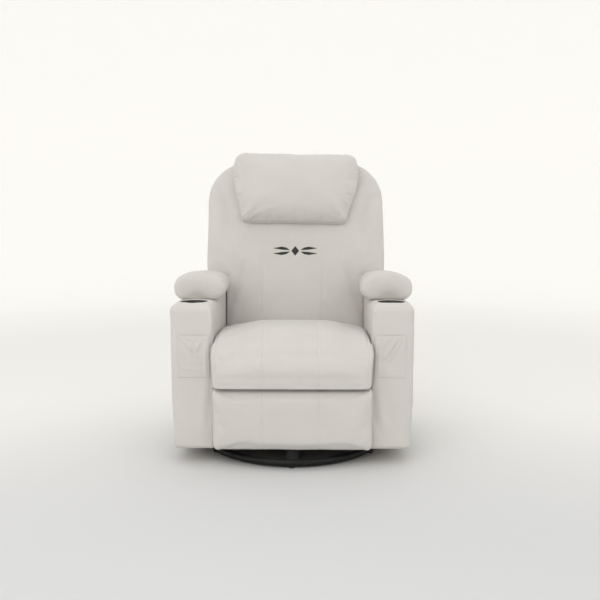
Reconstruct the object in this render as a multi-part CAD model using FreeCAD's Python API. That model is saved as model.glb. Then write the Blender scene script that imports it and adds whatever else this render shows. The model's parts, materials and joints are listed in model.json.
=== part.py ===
"""Swivel glider recliner for a nursery: round steel base, glide linkage, reclining back and folding footrest.

Millimetres, +Z up. The sitter faces -Y and +X is the sitter's left. Inside this file everything is placed
from the floor point midway between the swing links; save_all() then moves the origin to the middle of the
footprint.
"""

import FreeCAD
import Part

import math
import os

V = FreeCAD.Vector
X_AXIS, Y_AXIS, Z_AXIS = V(1, 0, 0), V(0, 1, 0), V(0, 0, 1)

# ---------------------------------------------------------------- driving dimensions

# Overall
SEAT_GAP = 524.0  # clear width between the arms
ARM_WIDTH = 138.0
ARM_FRONT = -310.0  # front face of the arms, from midway between the swing links
ARM_LENGTH = 600.0
ARM_BOTTOM = 55.0
ARM_TOP = 533.5
BACK_WIDTH = 700.0
BACK_HEIGHT = 725.0  # from the recline pivot to the top, along the back
BACK_LEAN = 14.0  # degrees from upright at rest

# Clearances
RUNNING = 0.05  # radial, a pin or bolt in a hole that turns on it
LAYER_GAP = 1.5  # between plates that slide past each other
SOFT_GAP = 0.5  # between a soft piece and its neighbour
FIT_GAP = 0.3  # between pieces that are assembled by hand

# Base ring and bearing
SWIVEL_Y = -30.0  # swivel axis, from the middle between the swing links
RING_OUTER_R = 322.0
RING_TUBE_R = 12.5
GLIDE_R = 10.0
GLIDE_FOOT = 4.0  # rubber under the tube
GLIDE_TOP = 2.0  # rubber up the sides of the tube
GLIDE_COUNT = 6
SPOKE_WIDTH = 40.0
SPOKE_HEIGHT = 20.0
SPOKE_WALL = 2.0
SPOKE_COUNT = 4
BOSS_R = 34.0
BOLT_R = 8.0  # king bolt
BOLT_HEAD_AF = 24.0
BOLT_HEAD_H = 8.0
NUT_H = 13.0
WASHER_R = 20.0
WASHER_T = 2.0
HUB_PLATE_R = 92.0
HUB_PLATE_T = 5.0
RACE_IN_R = 50.0
RACE_OUT_R = 84.0
RACE_T = 6.0
RACE_GAP = 1.0
BALL_R = 4.0
BALL_CIRCLE_R = 67.0
BALL_COUNT = 24

# Glider base
PLATE_SIZE = 210.0
PLATE_T = 5.0
RAIL_W = 25.0
RAIL_H = 30.0
RAIL_WALL = 2.0
BASE_RAIL_LENGTH = 360.0
CROSS_Y = 80.0  # cross members, from the swivel axis
SHEET_T = 5.0  # hangers and swing links
HANGER_Y = 150.0
HANGER_W = 40.0
SWING_TOP_Z = 245.0  # upper pivots
SWING_LENGTH = 140.0
SWING_W = 30.0
SWING_PIN_R = 5.0
BUSH_WALL = 3.0
BUSH_LIP = 0.6  # how far a bush stands proud of its swing link on each side
PIN_HEAD_R = 8.0
PIN_HEAD_T = 2.0

# Seat mechanism
CARRIAGE_RAIL_H = 35.0
CARRIAGE_RAIL_LENGTH = 380.0
SIDE_PLATE_T = 4.0
LINK_T = 4.0
LINK_W = 18.0
LINK_PIN_R = 4.0
LINK_HEAD_R = 7.0
LINK_HEAD_T = 1.2
LOOP_CLEARANCE = 0.6  # radial, at the one pivot where each footrest loop is open
CROSS_TUBE_R = 12.5
CROSS_TUBE_WALL = 2.0
CROSS_TUBE_Y = 55.0
CROSS_TUBE_Z = 200.0
# Footrest pivots with the footrest closed, as (y, z)
FRONT_PIVOT = (-178.0, 279.0)
FRONT_KNEE = (-68.0, 185.0)
FRONT_LUG = (-271.0, 220.0)
REAR_PIVOT = (-140.1, 266.2)
REAR_KNEE = (-29.7, 143.8)
REAR_LUG = (-271.0, 185.0)
# Recline pivot
BACK_PIVOT_INSET = 120.0  # in front of the arms' rear faces
BACK_PIVOT_Z = 325.0
BACK_PIN_R = 6.0

# Seat
SEAT_FRAME_BOTTOM = 268.0
SEAT_FRAME_H = 40.0
SEAT_RAIL_T = 22.0
SEAT_FRONT_RAIL_Y = -285.0
SEAT_REAR_GAP = 53.0  # from the recline pivot forward to the rear rail
DECK_T = 4.0
SPRING_WIRE_R = 1.75
SPRING_COUNT = 5
SPRING_HALF_W = 22.0
SPRING_PITCH = 26.0
CUSHION_FRONT = -371.0
CUSHION_CROWN = 456.0

# Footrest
BOARD_T = 12.0
BOARD_MARGIN = 22.0  # from the arm to the board
BOARD_EDGE = 11.0  # from the pad's top and bottom to the board's
BOARD_BACK = -284.0
PAD_MARGIN = 6.0
PAD_FRONT = -358.0
PAD_BOTTOM = 62.0
PAD_TOP = 261.0

# Arms
COVER_WALL = 14.0
COVER_EDGE_R = 22.0
ARM_BOARD_T = 12.0
CUP_Y = -230.0
CUP_INNER_R = 43.5
CUP_WALL = 2.5
CUP_DEPTH = 70.0
CUP_RIM_R = 52.0
CUP_RIM_T = 3.5
ARM_PAD_WIDTH = 180.0
ARM_PAD_H = 102.0
ARM_PAD_FRONT = -176.0
ARM_PAD_REAR_GAP = 122.0  # from its rear end to the arm's
ARM_PAD_INSET = 30.0  # how far the pad overhangs the arm's inner face
POCKET_T = 3.0
POCKET_GAP = 7.0
POCKET_BOTTOM = 296.0
POCKET_TOP = 437.0
POCKET_MARGIN = 9.0  # from the arm's inner face
POCKET_OUTER_MARGIN = 26.0
GLIDE_DISC_R = 12.0
GLIDE_DISC_T = 4.0
SPACER_R = 12.0
ARM_BOLT_R = 4.0
ARM_BOLT_INSETS = (240.0, 130.0)  # two at the first distance from the arm's rear, one at the second
ARM_BOLT_MARGIN = 9.0  # below the seat frame

# Back
BACK_FRONT = -45.0  # cushion face, from the recline pivot
CUSHION_BACK = 75.0
BACK_REAR = 150.0
BACK_FOOT = 28.0  # bottom of the back above the pivot
WING_FOOT = 250.0  # where the back widens over the arms
SHOULDER_R = 190.0
SHELL_WALL = 12.0
FRAME_DEPTH = 40.0
FRAME_RAIL = 30.0
BRACKET_T = 4.0
BRACKET_W = 36.0
BRACKET_RISE = 190.0
WEB_W = 50.0
WEB_T = 2.0
WEB_COUNT = 4
PILLOW_HALF_W = 250.0
PILLOW_HEIGHT = 286.0
PILLOW_RISE = 9.0  # how far the pillow stands above the back
PILLOW_T = 102.0
STRAP_HALF_W = 150.0
STRAP_T = 3.0
STRAP_DROP = 150.0

# Rear panel and release latch
REAR_PANEL_T = 6.0
REAR_PANEL_TOP = 205.0
REAR_PANEL_INSET = 16.0  # in front of the arms' rear faces
BEZEL_LENGTH = 96.0
BEZEL_HEIGHT = 62.0
BEZEL_T = 3.0
BEZEL_DEPTH = 24.0
BEZEL_FLANGE = 7.0
BEZEL_Y = -60.0
BEZEL_Z = 350.0
PADDLE_LENGTH = 46.0
PADDLE_T = 4.0
PADDLE_PIN_R = 2.0

# ---------------------------------------------------------------- places worked out from them

HALF_GAP = SEAT_GAP / 2
ARM_OUTER = HALF_GAP + ARM_WIDTH
ARM_REAR = ARM_FRONT + ARM_LENGTH
ARM_MIDDLE = HALF_GAP + ARM_WIDTH / 2
ARM_PAD_BACK = ARM_REAR - ARM_PAD_REAR_GAP
BOARD_HALF_W = HALF_GAP - BOARD_MARGIN
BOARD_BOTTOM, BOARD_TOP = PAD_BOTTOM + BOARD_EDGE, PAD_TOP - BOARD_EDGE
PAD_HALF_W = HALF_GAP - PAD_MARGIN
BACK_PIVOT = (ARM_REAR - BACK_PIVOT_INSET, BACK_PIVOT_Z)
SEAT_REAR_RAIL_Y = BACK_PIVOT[0] - SEAT_REAR_GAP

# Layers from the arm inwards, as distances from the middle
PLATE_OUT = HALF_GAP - 45.0
PLATE_IN = PLATE_OUT - SIDE_PLATE_T
CARRIAGE_IN = PLATE_IN - RAIL_W
SWING_OUT = CARRIAGE_IN - LAYER_GAP
SWING_IN = SWING_OUT - SHEET_T
HANGER_OUT = SWING_IN - LAYER_GAP
HANGER_IN = HANGER_OUT - SHEET_T
BASE_RAIL_IN = HANGER_IN - RAIL_W
# Layers from the side plate outwards
FRONT_DRIVE_X = PLATE_OUT + LAYER_GAP + 0.5
FRONT_LIFT_X = FRONT_DRIVE_X + LINK_T + LAYER_GAP
LUG_X = FRONT_LIFT_X + LINK_T + LAYER_GAP
REAR_LIFT_X = LUG_X + LINK_T + LAYER_GAP
REAR_DRIVE_X = REAR_LIFT_X + LINK_T + LAYER_GAP
BRACKET_X = PLATE_OUT + LAYER_GAP + 0.5

# Heights
RING_Z = GLIDE_FOOT + RING_TUBE_R
RING_R = RING_OUTER_R - RING_TUBE_R
SPOKE_BOTTOM = RING_Z - SPOKE_HEIGHT / 2
HUB_BOTTOM = SPOKE_BOTTOM + SPOKE_HEIGHT
LOWER_RACE_Z = HUB_BOTTOM + HUB_PLATE_T
UPPER_RACE_Z = LOWER_RACE_Z + RACE_T + RACE_GAP
BALL_Z = UPPER_RACE_Z - RACE_GAP / 2
PLATE_Z = UPPER_RACE_Z + RACE_T
FRAME_Z = PLATE_Z + PLATE_T
SWING_FOOT_Z = SWING_TOP_Z - SWING_LENGTH
CARRIAGE_Z = SWING_FOOT_Z - CARRIAGE_RAIL_H / 2
ARM_BOLT_TOP = SEAT_FRAME_BOTTOM - ARM_BOLT_MARGIN
ARM_BOLT_LOW = CARRIAGE_Z + CARRIAGE_RAIL_H + 27.0
ARM_BOLTS = (
    (ARM_REAR - ARM_BOLT_INSETS[0], ARM_BOLT_LOW),
    (ARM_REAR - ARM_BOLT_INSETS[0], ARM_BOLT_TOP),
    (ARM_REAR - ARM_BOLT_INSETS[1], (ARM_BOLT_LOW + ARM_BOLT_TOP) / 2),
)  # (y, z)
SEAT_FRAME_TOP = SEAT_FRAME_BOTTOM + SEAT_FRAME_H
DECK_TOP = SEAT_FRAME_TOP + DECK_T

CUP_OUTER_R = CUP_INNER_R + CUP_WALL
PILLOW_BACK = BACK_FRONT - SOFT_GAP
PILLOW_TOP = BACK_HEIGHT + PILLOW_RISE
PILLOW_BOTTOM = PILLOW_TOP - PILLOW_HEIGHT


# ---------------------------------------------------------------- helpers


def box(x, y, z):
    """A block from three (low, high) pairs."""
    low, high = V(x[0], y[0], z[0]), V(x[1], y[1], z[1])
    size = high - low
    return Part.makeBox(size.x, size.y, size.z, low)


def disc(radius, start, end):
    """A cylinder between two points."""
    along = end - start
    return Part.makeCylinder(radius, along.Length, start, along)


def x_disc(radius, point, x0, x1):
    """A cylinder along X through a (y, z) point."""
    return disc(radius, V(x0, *point), V(x1, *point))


def z_disc(radius, x, y, z0, z1):
    """An upright cylinder."""
    return disc(radius, V(x, y, z0), V(x, y, z1))


def hexagon(across_flats, x, y, z0, z1):
    """An upright hexagonal prism."""
    corner = across_flats / math.sqrt(3)
    angles = [math.radians(60 * i) for i in range(7)]
    points = [V(x + corner * math.cos(a), y + corner * math.sin(a), z0) for a in angles]
    return Part.Face(Part.makePolygon(points)).extrude(V(0, 0, z1 - z0))


def side_prism(edges, x0, x1):
    """A prism along X over a closed outline of edges that lie in the plane x = 0."""
    face = Part.Face(Part.Wire(Part.__sortEdges__(edges)))
    face.translate(V(x0, 0, 0))
    return face.extrude(V(x1 - x0, 0, 0))


def side_outline(points):
    """Straight edges round (y, z) points in the plane x = 0."""
    corners = [V(0, *p) for p in points]
    return Part.makePolygon(corners + corners[:1]).Edges


def mirrored(shape):
    """The same shape on the other side of the chair."""
    return shape.mirror(V(0, 0, 0), X_AXIS)


def pair(shape):
    """A shape and its mirror image."""
    return [shape, mirrored(shape)]


def edges_along(shape, axis, keep=lambda middle: True):
    """The straight edges of a shape along an axis whose middle point passes a test."""
    found = []
    for edge in shape.Edges:
        if isinstance(edge.Curve, Part.Line):
            run = edge.Vertexes[-1].Point - edge.Vertexes[0].Point
            if run.Length > 0 and abs(run.normalize().dot(axis)) > 0.999:
                if keep(edge.CenterOfMass):
                    found.append(edge)
    return found


def link(start, end, x, hole_start, hole_end):
    """A flat bar with round ends between two (y, z) pivots, its inner face at x, with a hole at each."""
    run = V(0, end[0] - start[0], end[1] - start[1])
    across = run.cross(X_AXIS).normalize() * (LINK_W / 2)
    a, b = V(0, *start), V(0, *end)
    corners = [a + across, b + across, b - across, a - across]
    bar = Part.Face(Part.makePolygon(corners + corners[:1])).extrude(V(LINK_T, 0, 0))
    bar.translate(V(x, 0, 0))
    for pivot in (start, end):
        bar = bar.fuse(x_disc(LINK_W / 2, pivot, x, x + LINK_T))
    for pivot, radius in ((start, hole_start), (end, hole_end)):
        bar = bar.cut(x_disc(radius, pivot, x - 1, x + LINK_T + 1))
    return bar.removeSplitter()


def rivet(pivot, x0, x1, radius=LINK_PIN_R, head_r=LINK_HEAD_R, head_t=LINK_HEAD_T, inner_head=True):
    """A pin along X from x0 to x1 with a flat head beyond its outer end, and one before its inner end."""
    pin = x_disc(radius, pivot, x0, x1).fuse(x_disc(head_r, pivot, x1, x1 + head_t))
    if inner_head:
        pin = pin.fuse(x_disc(head_r, pivot, x0 - head_t, x0))
    return pin.removeSplitter()


def tube_box(x, y, z, wall, axis):
    """A rectangular tube open along one axis ("x" or "y")."""
    inner = {"x": x, "y": y, "z": z}
    for name, span in (("x", x), ("y", y), ("z", z)):
        reach = 1.0 if name == axis else -wall
        inner[name] = (span[0] - reach, span[1] + reach)
    return box(x, y, z).cut(box(inner["x"], inner["y"], inner["z"]))


def solids(shape):
    """The solids of a shape as a list."""
    return list(shape.Solids)


# ---------------------------------------------------------------- base


def ring_torus():
    """The base ring's outside."""
    return Part.makeTorus(RING_R, RING_TUBE_R, V(0, 0, RING_Z), Z_AXIS)


def make_base():
    """The round foot, its spokes and hub, and the lower half of the swivel bearing."""
    ring = ring_torus()
    glides = []
    for i in range(GLIDE_COUNT):
        angle = math.radians(30 + 360 / GLIDE_COUNT * i)
        x, y = RING_R * math.cos(angle), RING_R * math.sin(angle)
        pad = z_disc(GLIDE_R, x, y, 0, GLIDE_FOOT + GLIDE_TOP).cut(ring)
        glides += solids(pad)

    z_span = (SPOKE_BOTTOM, SPOKE_BOTTOM + SPOKE_HEIGHT)
    boss = z_disc(BOSS_R, 0, 0, *z_span)
    spokes = boss
    for i in range(SPOKE_COUNT):
        y_span = (-SPOKE_WIDTH / 2, SPOKE_WIDTH / 2)
        spoke = tube_box((BOSS_R - 8, RING_R), y_span, z_span, SPOKE_WALL, "x").cut(boss)
        spoke.rotate(V(0, 0, 0), Z_AXIS, 360 / SPOKE_COUNT * i)
        spokes = spokes.fuse(spoke)
    spokes = spokes.cut(ring)
    spokes = spokes.cut(z_disc(BOLT_R, 0, 0, 0, 100))
    spokes = spokes.cut(hexagon(BOLT_HEAD_AF, 0, 0, SPOKE_BOTTOM, SPOKE_BOTTOM + BOLT_HEAD_H))
    spokes = max(solids(spokes.removeSplitter()), key=lambda s: s.Volume)

    hub = z_disc(HUB_PLATE_R, 0, 0, HUB_BOTTOM, LOWER_RACE_Z).cut(z_disc(BOLT_R, 0, 0, 0, 100))
    groove = Part.makeTorus(BALL_CIRCLE_R, BALL_R + RUNNING, V(0, 0, BALL_Z), Z_AXIS)
    race = z_disc(RACE_OUT_R, 0, 0, 0, RACE_T).cut(z_disc(RACE_IN_R, 0, 0, -1, RACE_T + 1))
    lower, upper = race.copy(), race.copy()
    lower.translate(V(0, 0, LOWER_RACE_Z))
    upper.translate(V(0, 0, UPPER_RACE_Z))
    balls = []
    for i in range(BALL_COUNT):
        angle = math.radians(360 / BALL_COUNT * i)
        centre = V(BALL_CIRCLE_R * math.cos(angle), BALL_CIRCLE_R * math.sin(angle), BALL_Z)
        balls.append(Part.makeSphere(BALL_R, centre))

    washer_z = FRAME_Z + FIT_GAP
    nut_z = washer_z + WASHER_T
    bolt = hexagon(BOLT_HEAD_AF, 0, 0, SPOKE_BOTTOM, SPOKE_BOTTOM + BOLT_HEAD_H)
    bolt = bolt.fuse(z_disc(BOLT_R, 0, 0, SPOKE_BOTTOM, nut_z + NUT_H + 3))
    nut = hexagon(BOLT_HEAD_AF, 0, 0, nut_z, nut_z + NUT_H).cut(z_disc(BOLT_R, 0, 0, 0, 200))
    washer = z_disc(WASHER_R, 0, 0, washer_z, nut_z).cut(z_disc(BOLT_R, 0, 0, 0, 200))
    nodes = {
        "floor_glides": glides,
        "base_ring": [ring],
        "base_spokes": [spokes],
        "hub_plate": [hub],
        "lower_bearing_race": [lower.cut(groove)],
        "bearing_balls": balls,
        "king_bolt": [bolt.removeSplitter(), nut, washer],
        "upper_bearing_race": [upper.cut(groove)],
    }
    for shapes in nodes.values():
        for shape in shapes:
            shape.translate(V(0, SWIVEL_Y, 0))
    return nodes


# ---------------------------------------------------------------- glider base and swing links


def make_glider_base():
    """The swivelling frame with its four hangers."""
    half = PLATE_SIZE / 2
    plate = box((-half, half), (-half, half), (PLATE_Z, FRAME_Z))
    plate = plate.cut(z_disc(BOLT_R + RUNNING, 0, 0, 0, 200))
    plate.translate(V(0, SWIVEL_Y, 0))
    z_span = (FRAME_Z, FRAME_Z + RAIL_H)
    y_span = (-BASE_RAIL_LENGTH / 2, BASE_RAIL_LENGTH / 2)
    rail = tube_box((BASE_RAIL_IN, HANGER_IN), y_span, z_span, RAIL_WALL, "y")
    members = []
    for side in (-1, 1):
        middle = SWIVEL_Y + side * CROSS_Y
        span = (middle - RAIL_W / 2, middle + RAIL_W / 2)
        members.append(tube_box((-BASE_RAIL_IN, BASE_RAIL_IN), span, z_span, RAIL_WALL, "x"))

    hangers, pins, bolts = [], [], []
    for side in (-1, 1):
        middle = side * HANGER_Y
        top = (middle, SWING_TOP_Z)
        foot = HANGER_W / 2
        head = SWING_W / 2 + 2
        points = [
            (middle - foot, FRAME_Z),
            (middle + foot, FRAME_Z),
            (middle + foot, FRAME_Z + RAIL_H),
            (middle + head, SWING_TOP_Z),
            (middle - head, SWING_TOP_Z),
            (middle - foot, FRAME_Z + RAIL_H),
        ]
        plate_y = side_prism(side_outline(points), HANGER_IN, HANGER_OUT)
        plate_y = plate_y.fuse(x_disc(head, top, HANGER_IN, HANGER_OUT))
        plate_y = plate_y.cut(x_disc(SWING_PIN_R, top, HANGER_IN - 1, HANGER_OUT + 1))
        for offset in (-10, 10):
            spot = (middle + offset, FRAME_Z + RAIL_H / 2)
            plate_y = plate_y.cut(x_disc(3.0, spot, HANGER_IN - 1, HANGER_OUT + 1))
            bolt = x_disc(3.0, spot, HANGER_IN, HANGER_OUT)
            bolts += pair(bolt.fuse(x_disc(5.0, spot, HANGER_OUT, HANGER_OUT + 3)).removeSplitter())
        hangers += pair(plate_y.removeSplitter())
        pins += pair(
            rivet(top, HANGER_IN, SWING_OUT + 0.5 + BUSH_LIP, SWING_PIN_R, PIN_HEAD_R, PIN_HEAD_T)
        )
    return {
        "turntable_plate": [plate],
        "glider_base_frame": pair(rail) + members,
        "link_hangers": hangers,
        "hanger_pins": pins,
        "hanger_bolts": bolts,
    }


def swing_link(side):
    """One flat swing link and its two bushes, hanging from the hanger on that side of the swivel axis."""
    y = side * HANGER_Y
    top, foot = (y, SWING_TOP_Z), (y, SWING_FOOT_Z)
    span = (y - SWING_W / 2, y + SWING_W / 2)
    bar = box((SWING_IN, SWING_OUT), span, (SWING_FOOT_Z, SWING_TOP_Z))
    bushes = []
    for pivot in (top, foot):
        bar = bar.fuse(x_disc(SWING_W / 2, pivot, SWING_IN, SWING_OUT))
    for pivot in (top, foot):
        outside = x_disc(SWING_PIN_R + BUSH_WALL, pivot, SWING_IN - 1, SWING_OUT + 1)
        bar = bar.cut(outside)
        bush = x_disc(SWING_PIN_R + BUSH_WALL, pivot, SWING_IN - BUSH_LIP, SWING_OUT + BUSH_LIP)
        bore = x_disc(SWING_PIN_R + RUNNING, pivot, SWING_IN - 2, SWING_OUT + 2)
        bushes += pair(bush.cut(bore))
    return pair(bar.removeSplitter()), bushes


def make_swing_links():
    """The front and rear pairs of swing links."""
    front, front_bushes = swing_link(-1)
    rear, rear_bushes = swing_link(1)
    return {
        "front_swing_links": front,
        "front_link_bushes": front_bushes,
        "rear_swing_links": rear,
        "rear_link_bushes": rear_bushes,
    }


# ---------------------------------------------------------------- seat mechanism


def make_carriage():
    """The rails that hang from the swing links, the side plates and what ties them together."""
    y_span = (-CARRIAGE_RAIL_LENGTH / 2, CARRIAGE_RAIL_LENGTH / 2)
    z_span = (CARRIAGE_Z, CARRIAGE_Z + CARRIAGE_RAIL_H)
    rail = tube_box((CARRIAGE_IN, PLATE_IN), y_span, z_span, RAIL_WALL, "y")
    pivot_y, pivot_z = BACK_PIVOT
    outline = [
        (y_span[0], z_span[0]),
        (pivot_y + 15, z_span[0]),
        (pivot_y + 26, pivot_z - 60),
        (pivot_y + 20, pivot_z + 12),
        (pivot_y + 12, pivot_z + 18),
        (pivot_y - 20, pivot_z + 18),
        (pivot_y - 48, FRONT_PIVOT[1] + 16),
        (FRONT_PIVOT[0] - 16, FRONT_PIVOT[1] + 16),
        (FRONT_PIVOT[0] - 22, FRONT_PIVOT[1] - 14),
    ]
    plate = side_prism(side_outline(outline), PLATE_IN, PLATE_OUT)
    holes = [(FRONT_PIVOT, LINK_PIN_R), (REAR_PIVOT, LINK_PIN_R), (BACK_PIVOT, BACK_PIN_R)]
    holes += [(spot, ARM_BOLT_R) for spot in ARM_BOLTS]
    for side in (-1, 1):
        pivot = (side * HANGER_Y, SWING_FOOT_Z)
        holes.append((pivot, SWING_PIN_R))
        rail = rail.cut(x_disc(SWING_PIN_R, pivot, CARRIAGE_IN - 1, PLATE_IN + 1))
    for spot, radius in holes:
        plate = plate.cut(x_disc(radius, spot, PLATE_IN - 1, PLATE_OUT + 1))

    pins = []
    for side in (-1, 1):
        pivot = (side * HANGER_Y, SWING_FOOT_Z)
        pins += pair(x_disc(SWING_PIN_R, pivot, SWING_IN - BUSH_LIP, PLATE_OUT))
    studs = [
        rivet(FRONT_PIVOT, PLATE_IN, FRONT_DRIVE_X + LINK_T, inner_head=False),
        rivet(REAR_PIVOT, PLATE_IN, REAR_DRIVE_X + LINK_T, inner_head=False),
    ]
    back_pin = rivet(
        BACK_PIVOT, PLATE_IN, BRACKET_X + BRACKET_T + FIT_GAP, BACK_PIN_R, PIN_HEAD_R + 2, PIN_HEAD_T
    )
    tubes = []
    for y in (-CROSS_TUBE_Y, CROSS_TUBE_Y):
        spot = (y, CROSS_TUBE_Z)
        outside = x_disc(CROSS_TUBE_R, spot, -PLATE_IN, PLATE_IN)
        tubes.append(outside.cut(x_disc(CROSS_TUBE_R - CROSS_TUBE_WALL, spot, -HALF_GAP, HALF_GAP)))
    return {
        "carriage_rails": pair(rail),
        "mechanism_side_plates": pair(plate),
        "carriage_pins": pins,
        "link_studs": [piece for stud in studs for piece in pair(stud)],
        "recline_pins": pair(back_pin),
        "cross_tubes": tubes,
    }


def make_footrest_links():
    """Two drive links and two lift links a side, with their knee pins."""
    loose = LINK_PIN_R + RUNNING
    tight = LINK_PIN_R
    front_drive = link(FRONT_PIVOT, FRONT_KNEE, FRONT_DRIVE_X, loose, tight)
    front_lift = link(FRONT_KNEE, FRONT_LUG, FRONT_LIFT_X, loose, loose)
    rear_drive = link(REAR_PIVOT, REAR_KNEE, REAR_DRIVE_X, loose, tight)
    rear_lift = link(REAR_KNEE, REAR_LUG, REAR_LIFT_X, loose, LINK_PIN_R + LOOP_CLEARANCE)
    front_knee = rivet(FRONT_KNEE, FRONT_DRIVE_X, FRONT_LIFT_X + LINK_T)
    rear_knee = rivet(REAR_KNEE, REAR_LIFT_X, REAR_DRIVE_X + LINK_T)
    return {
        "front_drive_links": pair(front_drive),
        "front_knee_pins": pair(front_knee),
        "front_lift_links": pair(front_lift),
        "rear_drive_links": pair(rear_drive),
        "rear_knee_pins": pair(rear_knee),
        "rear_lift_links": pair(rear_lift),
    }


def make_footrest():
    """The padded board, its two steel lugs and the pins that join them to the lift links."""
    front = BOARD_BACK - BOARD_T
    board = box((-BOARD_HALF_W, BOARD_HALF_W), (front, BOARD_BACK), (BOARD_BOTTOM, BOARD_TOP))
    lug_z = (REAR_LUG[1] - 55, FRONT_LUG[1] + 16)
    lug = box((LUG_X, LUG_X + LINK_T), (BOARD_BACK, FRONT_LUG[0] + 12), lug_z)
    flange = box((LUG_X - 24, LUG_X), (BOARD_BACK, BOARD_BACK + 3), lug_z)
    lug = lug.fuse(flange)
    for spot in (FRONT_LUG, REAR_LUG):
        lug = lug.cut(x_disc(LINK_PIN_R, spot, LUG_X - 1, LUG_X + LINK_T + 1))
    lug = lug.removeSplitter()
    pins = pair(rivet(FRONT_LUG, FRONT_LIFT_X, LUG_X + LINK_T))
    pins += pair(rivet(REAR_LUG, LUG_X, REAR_LIFT_X + LINK_T))

    rear = front - SOFT_GAP
    edges = [
        Part.LineSegment(V(0, rear, PAD_BOTTOM + 3), V(0, rear, PAD_TOP - 3)).toShape(),
        Part.Arc(
            V(0, rear, PAD_TOP - 3), V(0, rear - 26, PAD_TOP), V(0, PAD_FRONT + 6, PAD_TOP - 26)
        ).toShape(),
        Part.Arc(
            V(0, PAD_FRONT + 6, PAD_TOP - 26),
            V(0, PAD_FRONT, (PAD_TOP + PAD_BOTTOM) / 2),
            V(0, PAD_FRONT + 7, PAD_BOTTOM + 26),
        ).toShape(),
        Part.Arc(
            V(0, PAD_FRONT + 7, PAD_BOTTOM + 26), V(0, rear - 28, PAD_BOTTOM), V(0, rear, PAD_BOTTOM + 3)
        ).toShape(),
    ]
    pad = side_prism(edges, -PAD_HALF_W, PAD_HALF_W)
    return {
        "footrest_board": [board],
        "footrest_lugs": pair(lug),
        "footrest_lug_pins": pins,
        "footrest_pad": [pad],
    }


# ---------------------------------------------------------------- seat


def zigzag_spring(x_middle):
    """One flat zigzag wire spring from the front rail to the rear rail."""
    z = SEAT_FRAME_TOP - SPRING_WIRE_R - 1.0
    start = SEAT_FRONT_RAIL_Y + SEAT_RAIL_T
    length = SEAT_REAR_RAIL_Y - SEAT_RAIL_T - start
    turns = int(length // SPRING_PITCH)
    pitch = length / turns
    bend = pitch / 2
    straight = SPRING_HALF_W - bend
    edges, side = [], 1
    lead = V(x_middle, start, z)
    corner = V(x_middle, start + bend, z)
    edges.append(Part.LineSegment(lead, corner).toShape())
    at = corner
    for i in range(turns - 1):
        out = V(x_middle + side * straight, at.y, z)
        far = V(x_middle + side * straight, at.y + pitch, z)
        tip = V(x_middle + side * (straight + bend), at.y + bend, z)
        edges.append(Part.LineSegment(at, out).toShape())
        edges.append(Part.Arc(out, tip, far).toShape())
        back = V(x_middle, at.y + pitch, z)
        edges.append(Part.LineSegment(far, back).toShape())
        at, side = back, -side
    edges.append(Part.LineSegment(at, V(x_middle, start + length, z)).toShape())
    path = Part.Wire(edges)
    profile = Part.Wire(Part.Circle(lead, Y_AXIS, SPRING_WIRE_R).toShape())
    return path.makePipeShell([profile], True, True, 2)


def cushion_outline():
    """Edges of the seat cushion's side view, crowned on top with a waterfall front."""
    rear = SEAT_REAR_RAIL_Y + 5
    base = DECK_TOP + SOFT_GAP
    lip_y = SEAT_FRONT_RAIL_Y - 5
    lip_z = PAD_TOP + 6
    rear_top = V(0, rear + 16, CUSHION_CROWN - 32)
    front_top = V(0, CUSHION_FRONT + 71, CUSHION_CROWN - 17)
    nose = V(0, CUSHION_FRONT, CUSHION_CROWN - 110)
    lip = V(0, CUSHION_FRONT + 41, lip_z)
    points = [lip, V(0, lip_y, lip_z), V(0, lip_y, base), V(0, rear, base), rear_top]
    edges = [Part.LineSegment(a, b).toShape() for a, b in zip(points, points[1:])]
    edges.append(Part.Arc(rear_top, V(0, -110, CUSHION_CROWN), front_top).toShape())
    shoulder = V(0, CUSHION_FRONT + 14, CUSHION_CROWN - 58)
    edges.append(Part.Arc(front_top, shoulder, nose).toShape())
    edges.append(Part.Arc(nose, V(0, CUSHION_FRONT + 14, CUSHION_CROWN - 152), lip).toShape())
    return edges


def make_seat():
    """The seat's wooden box, its springs and deck, and the cushion."""
    z_span = (SEAT_FRAME_BOTTOM, SEAT_FRAME_TOP)
    front = (SEAT_FRONT_RAIL_Y, SEAT_FRONT_RAIL_Y + SEAT_RAIL_T)
    rear = (SEAT_REAR_RAIL_Y - SEAT_RAIL_T, SEAT_REAR_RAIL_Y)
    frame = box((-PLATE_IN, PLATE_IN), front, z_span)
    frame = frame.fuse(box((-PLATE_IN, PLATE_IN), rear, z_span))
    for side in pair(box((PLATE_IN - SEAT_RAIL_T, PLATE_IN), (front[1], rear[0]), z_span)):
        frame = frame.fuse(side)
    gap = 2 * (PLATE_IN - SEAT_RAIL_T - SPRING_HALF_W - 10) / (SPRING_COUNT - 1)
    first = -gap * (SPRING_COUNT - 1) / 2
    springs = [zigzag_spring(first + gap * i) for i in range(SPRING_COUNT)]
    deck = box((-PLATE_IN, PLATE_IN), (front[0], rear[1]), (SEAT_FRAME_TOP, DECK_TOP))
    half = HALF_GAP - 3
    return {
        "seat_frame": [frame.removeSplitter()],
        "seat_springs": springs,
        "seat_deck": [deck],
        "seat_cushion": [side_prism(cushion_outline(), -half, half)],
    }


# ---------------------------------------------------------------- arms


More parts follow.
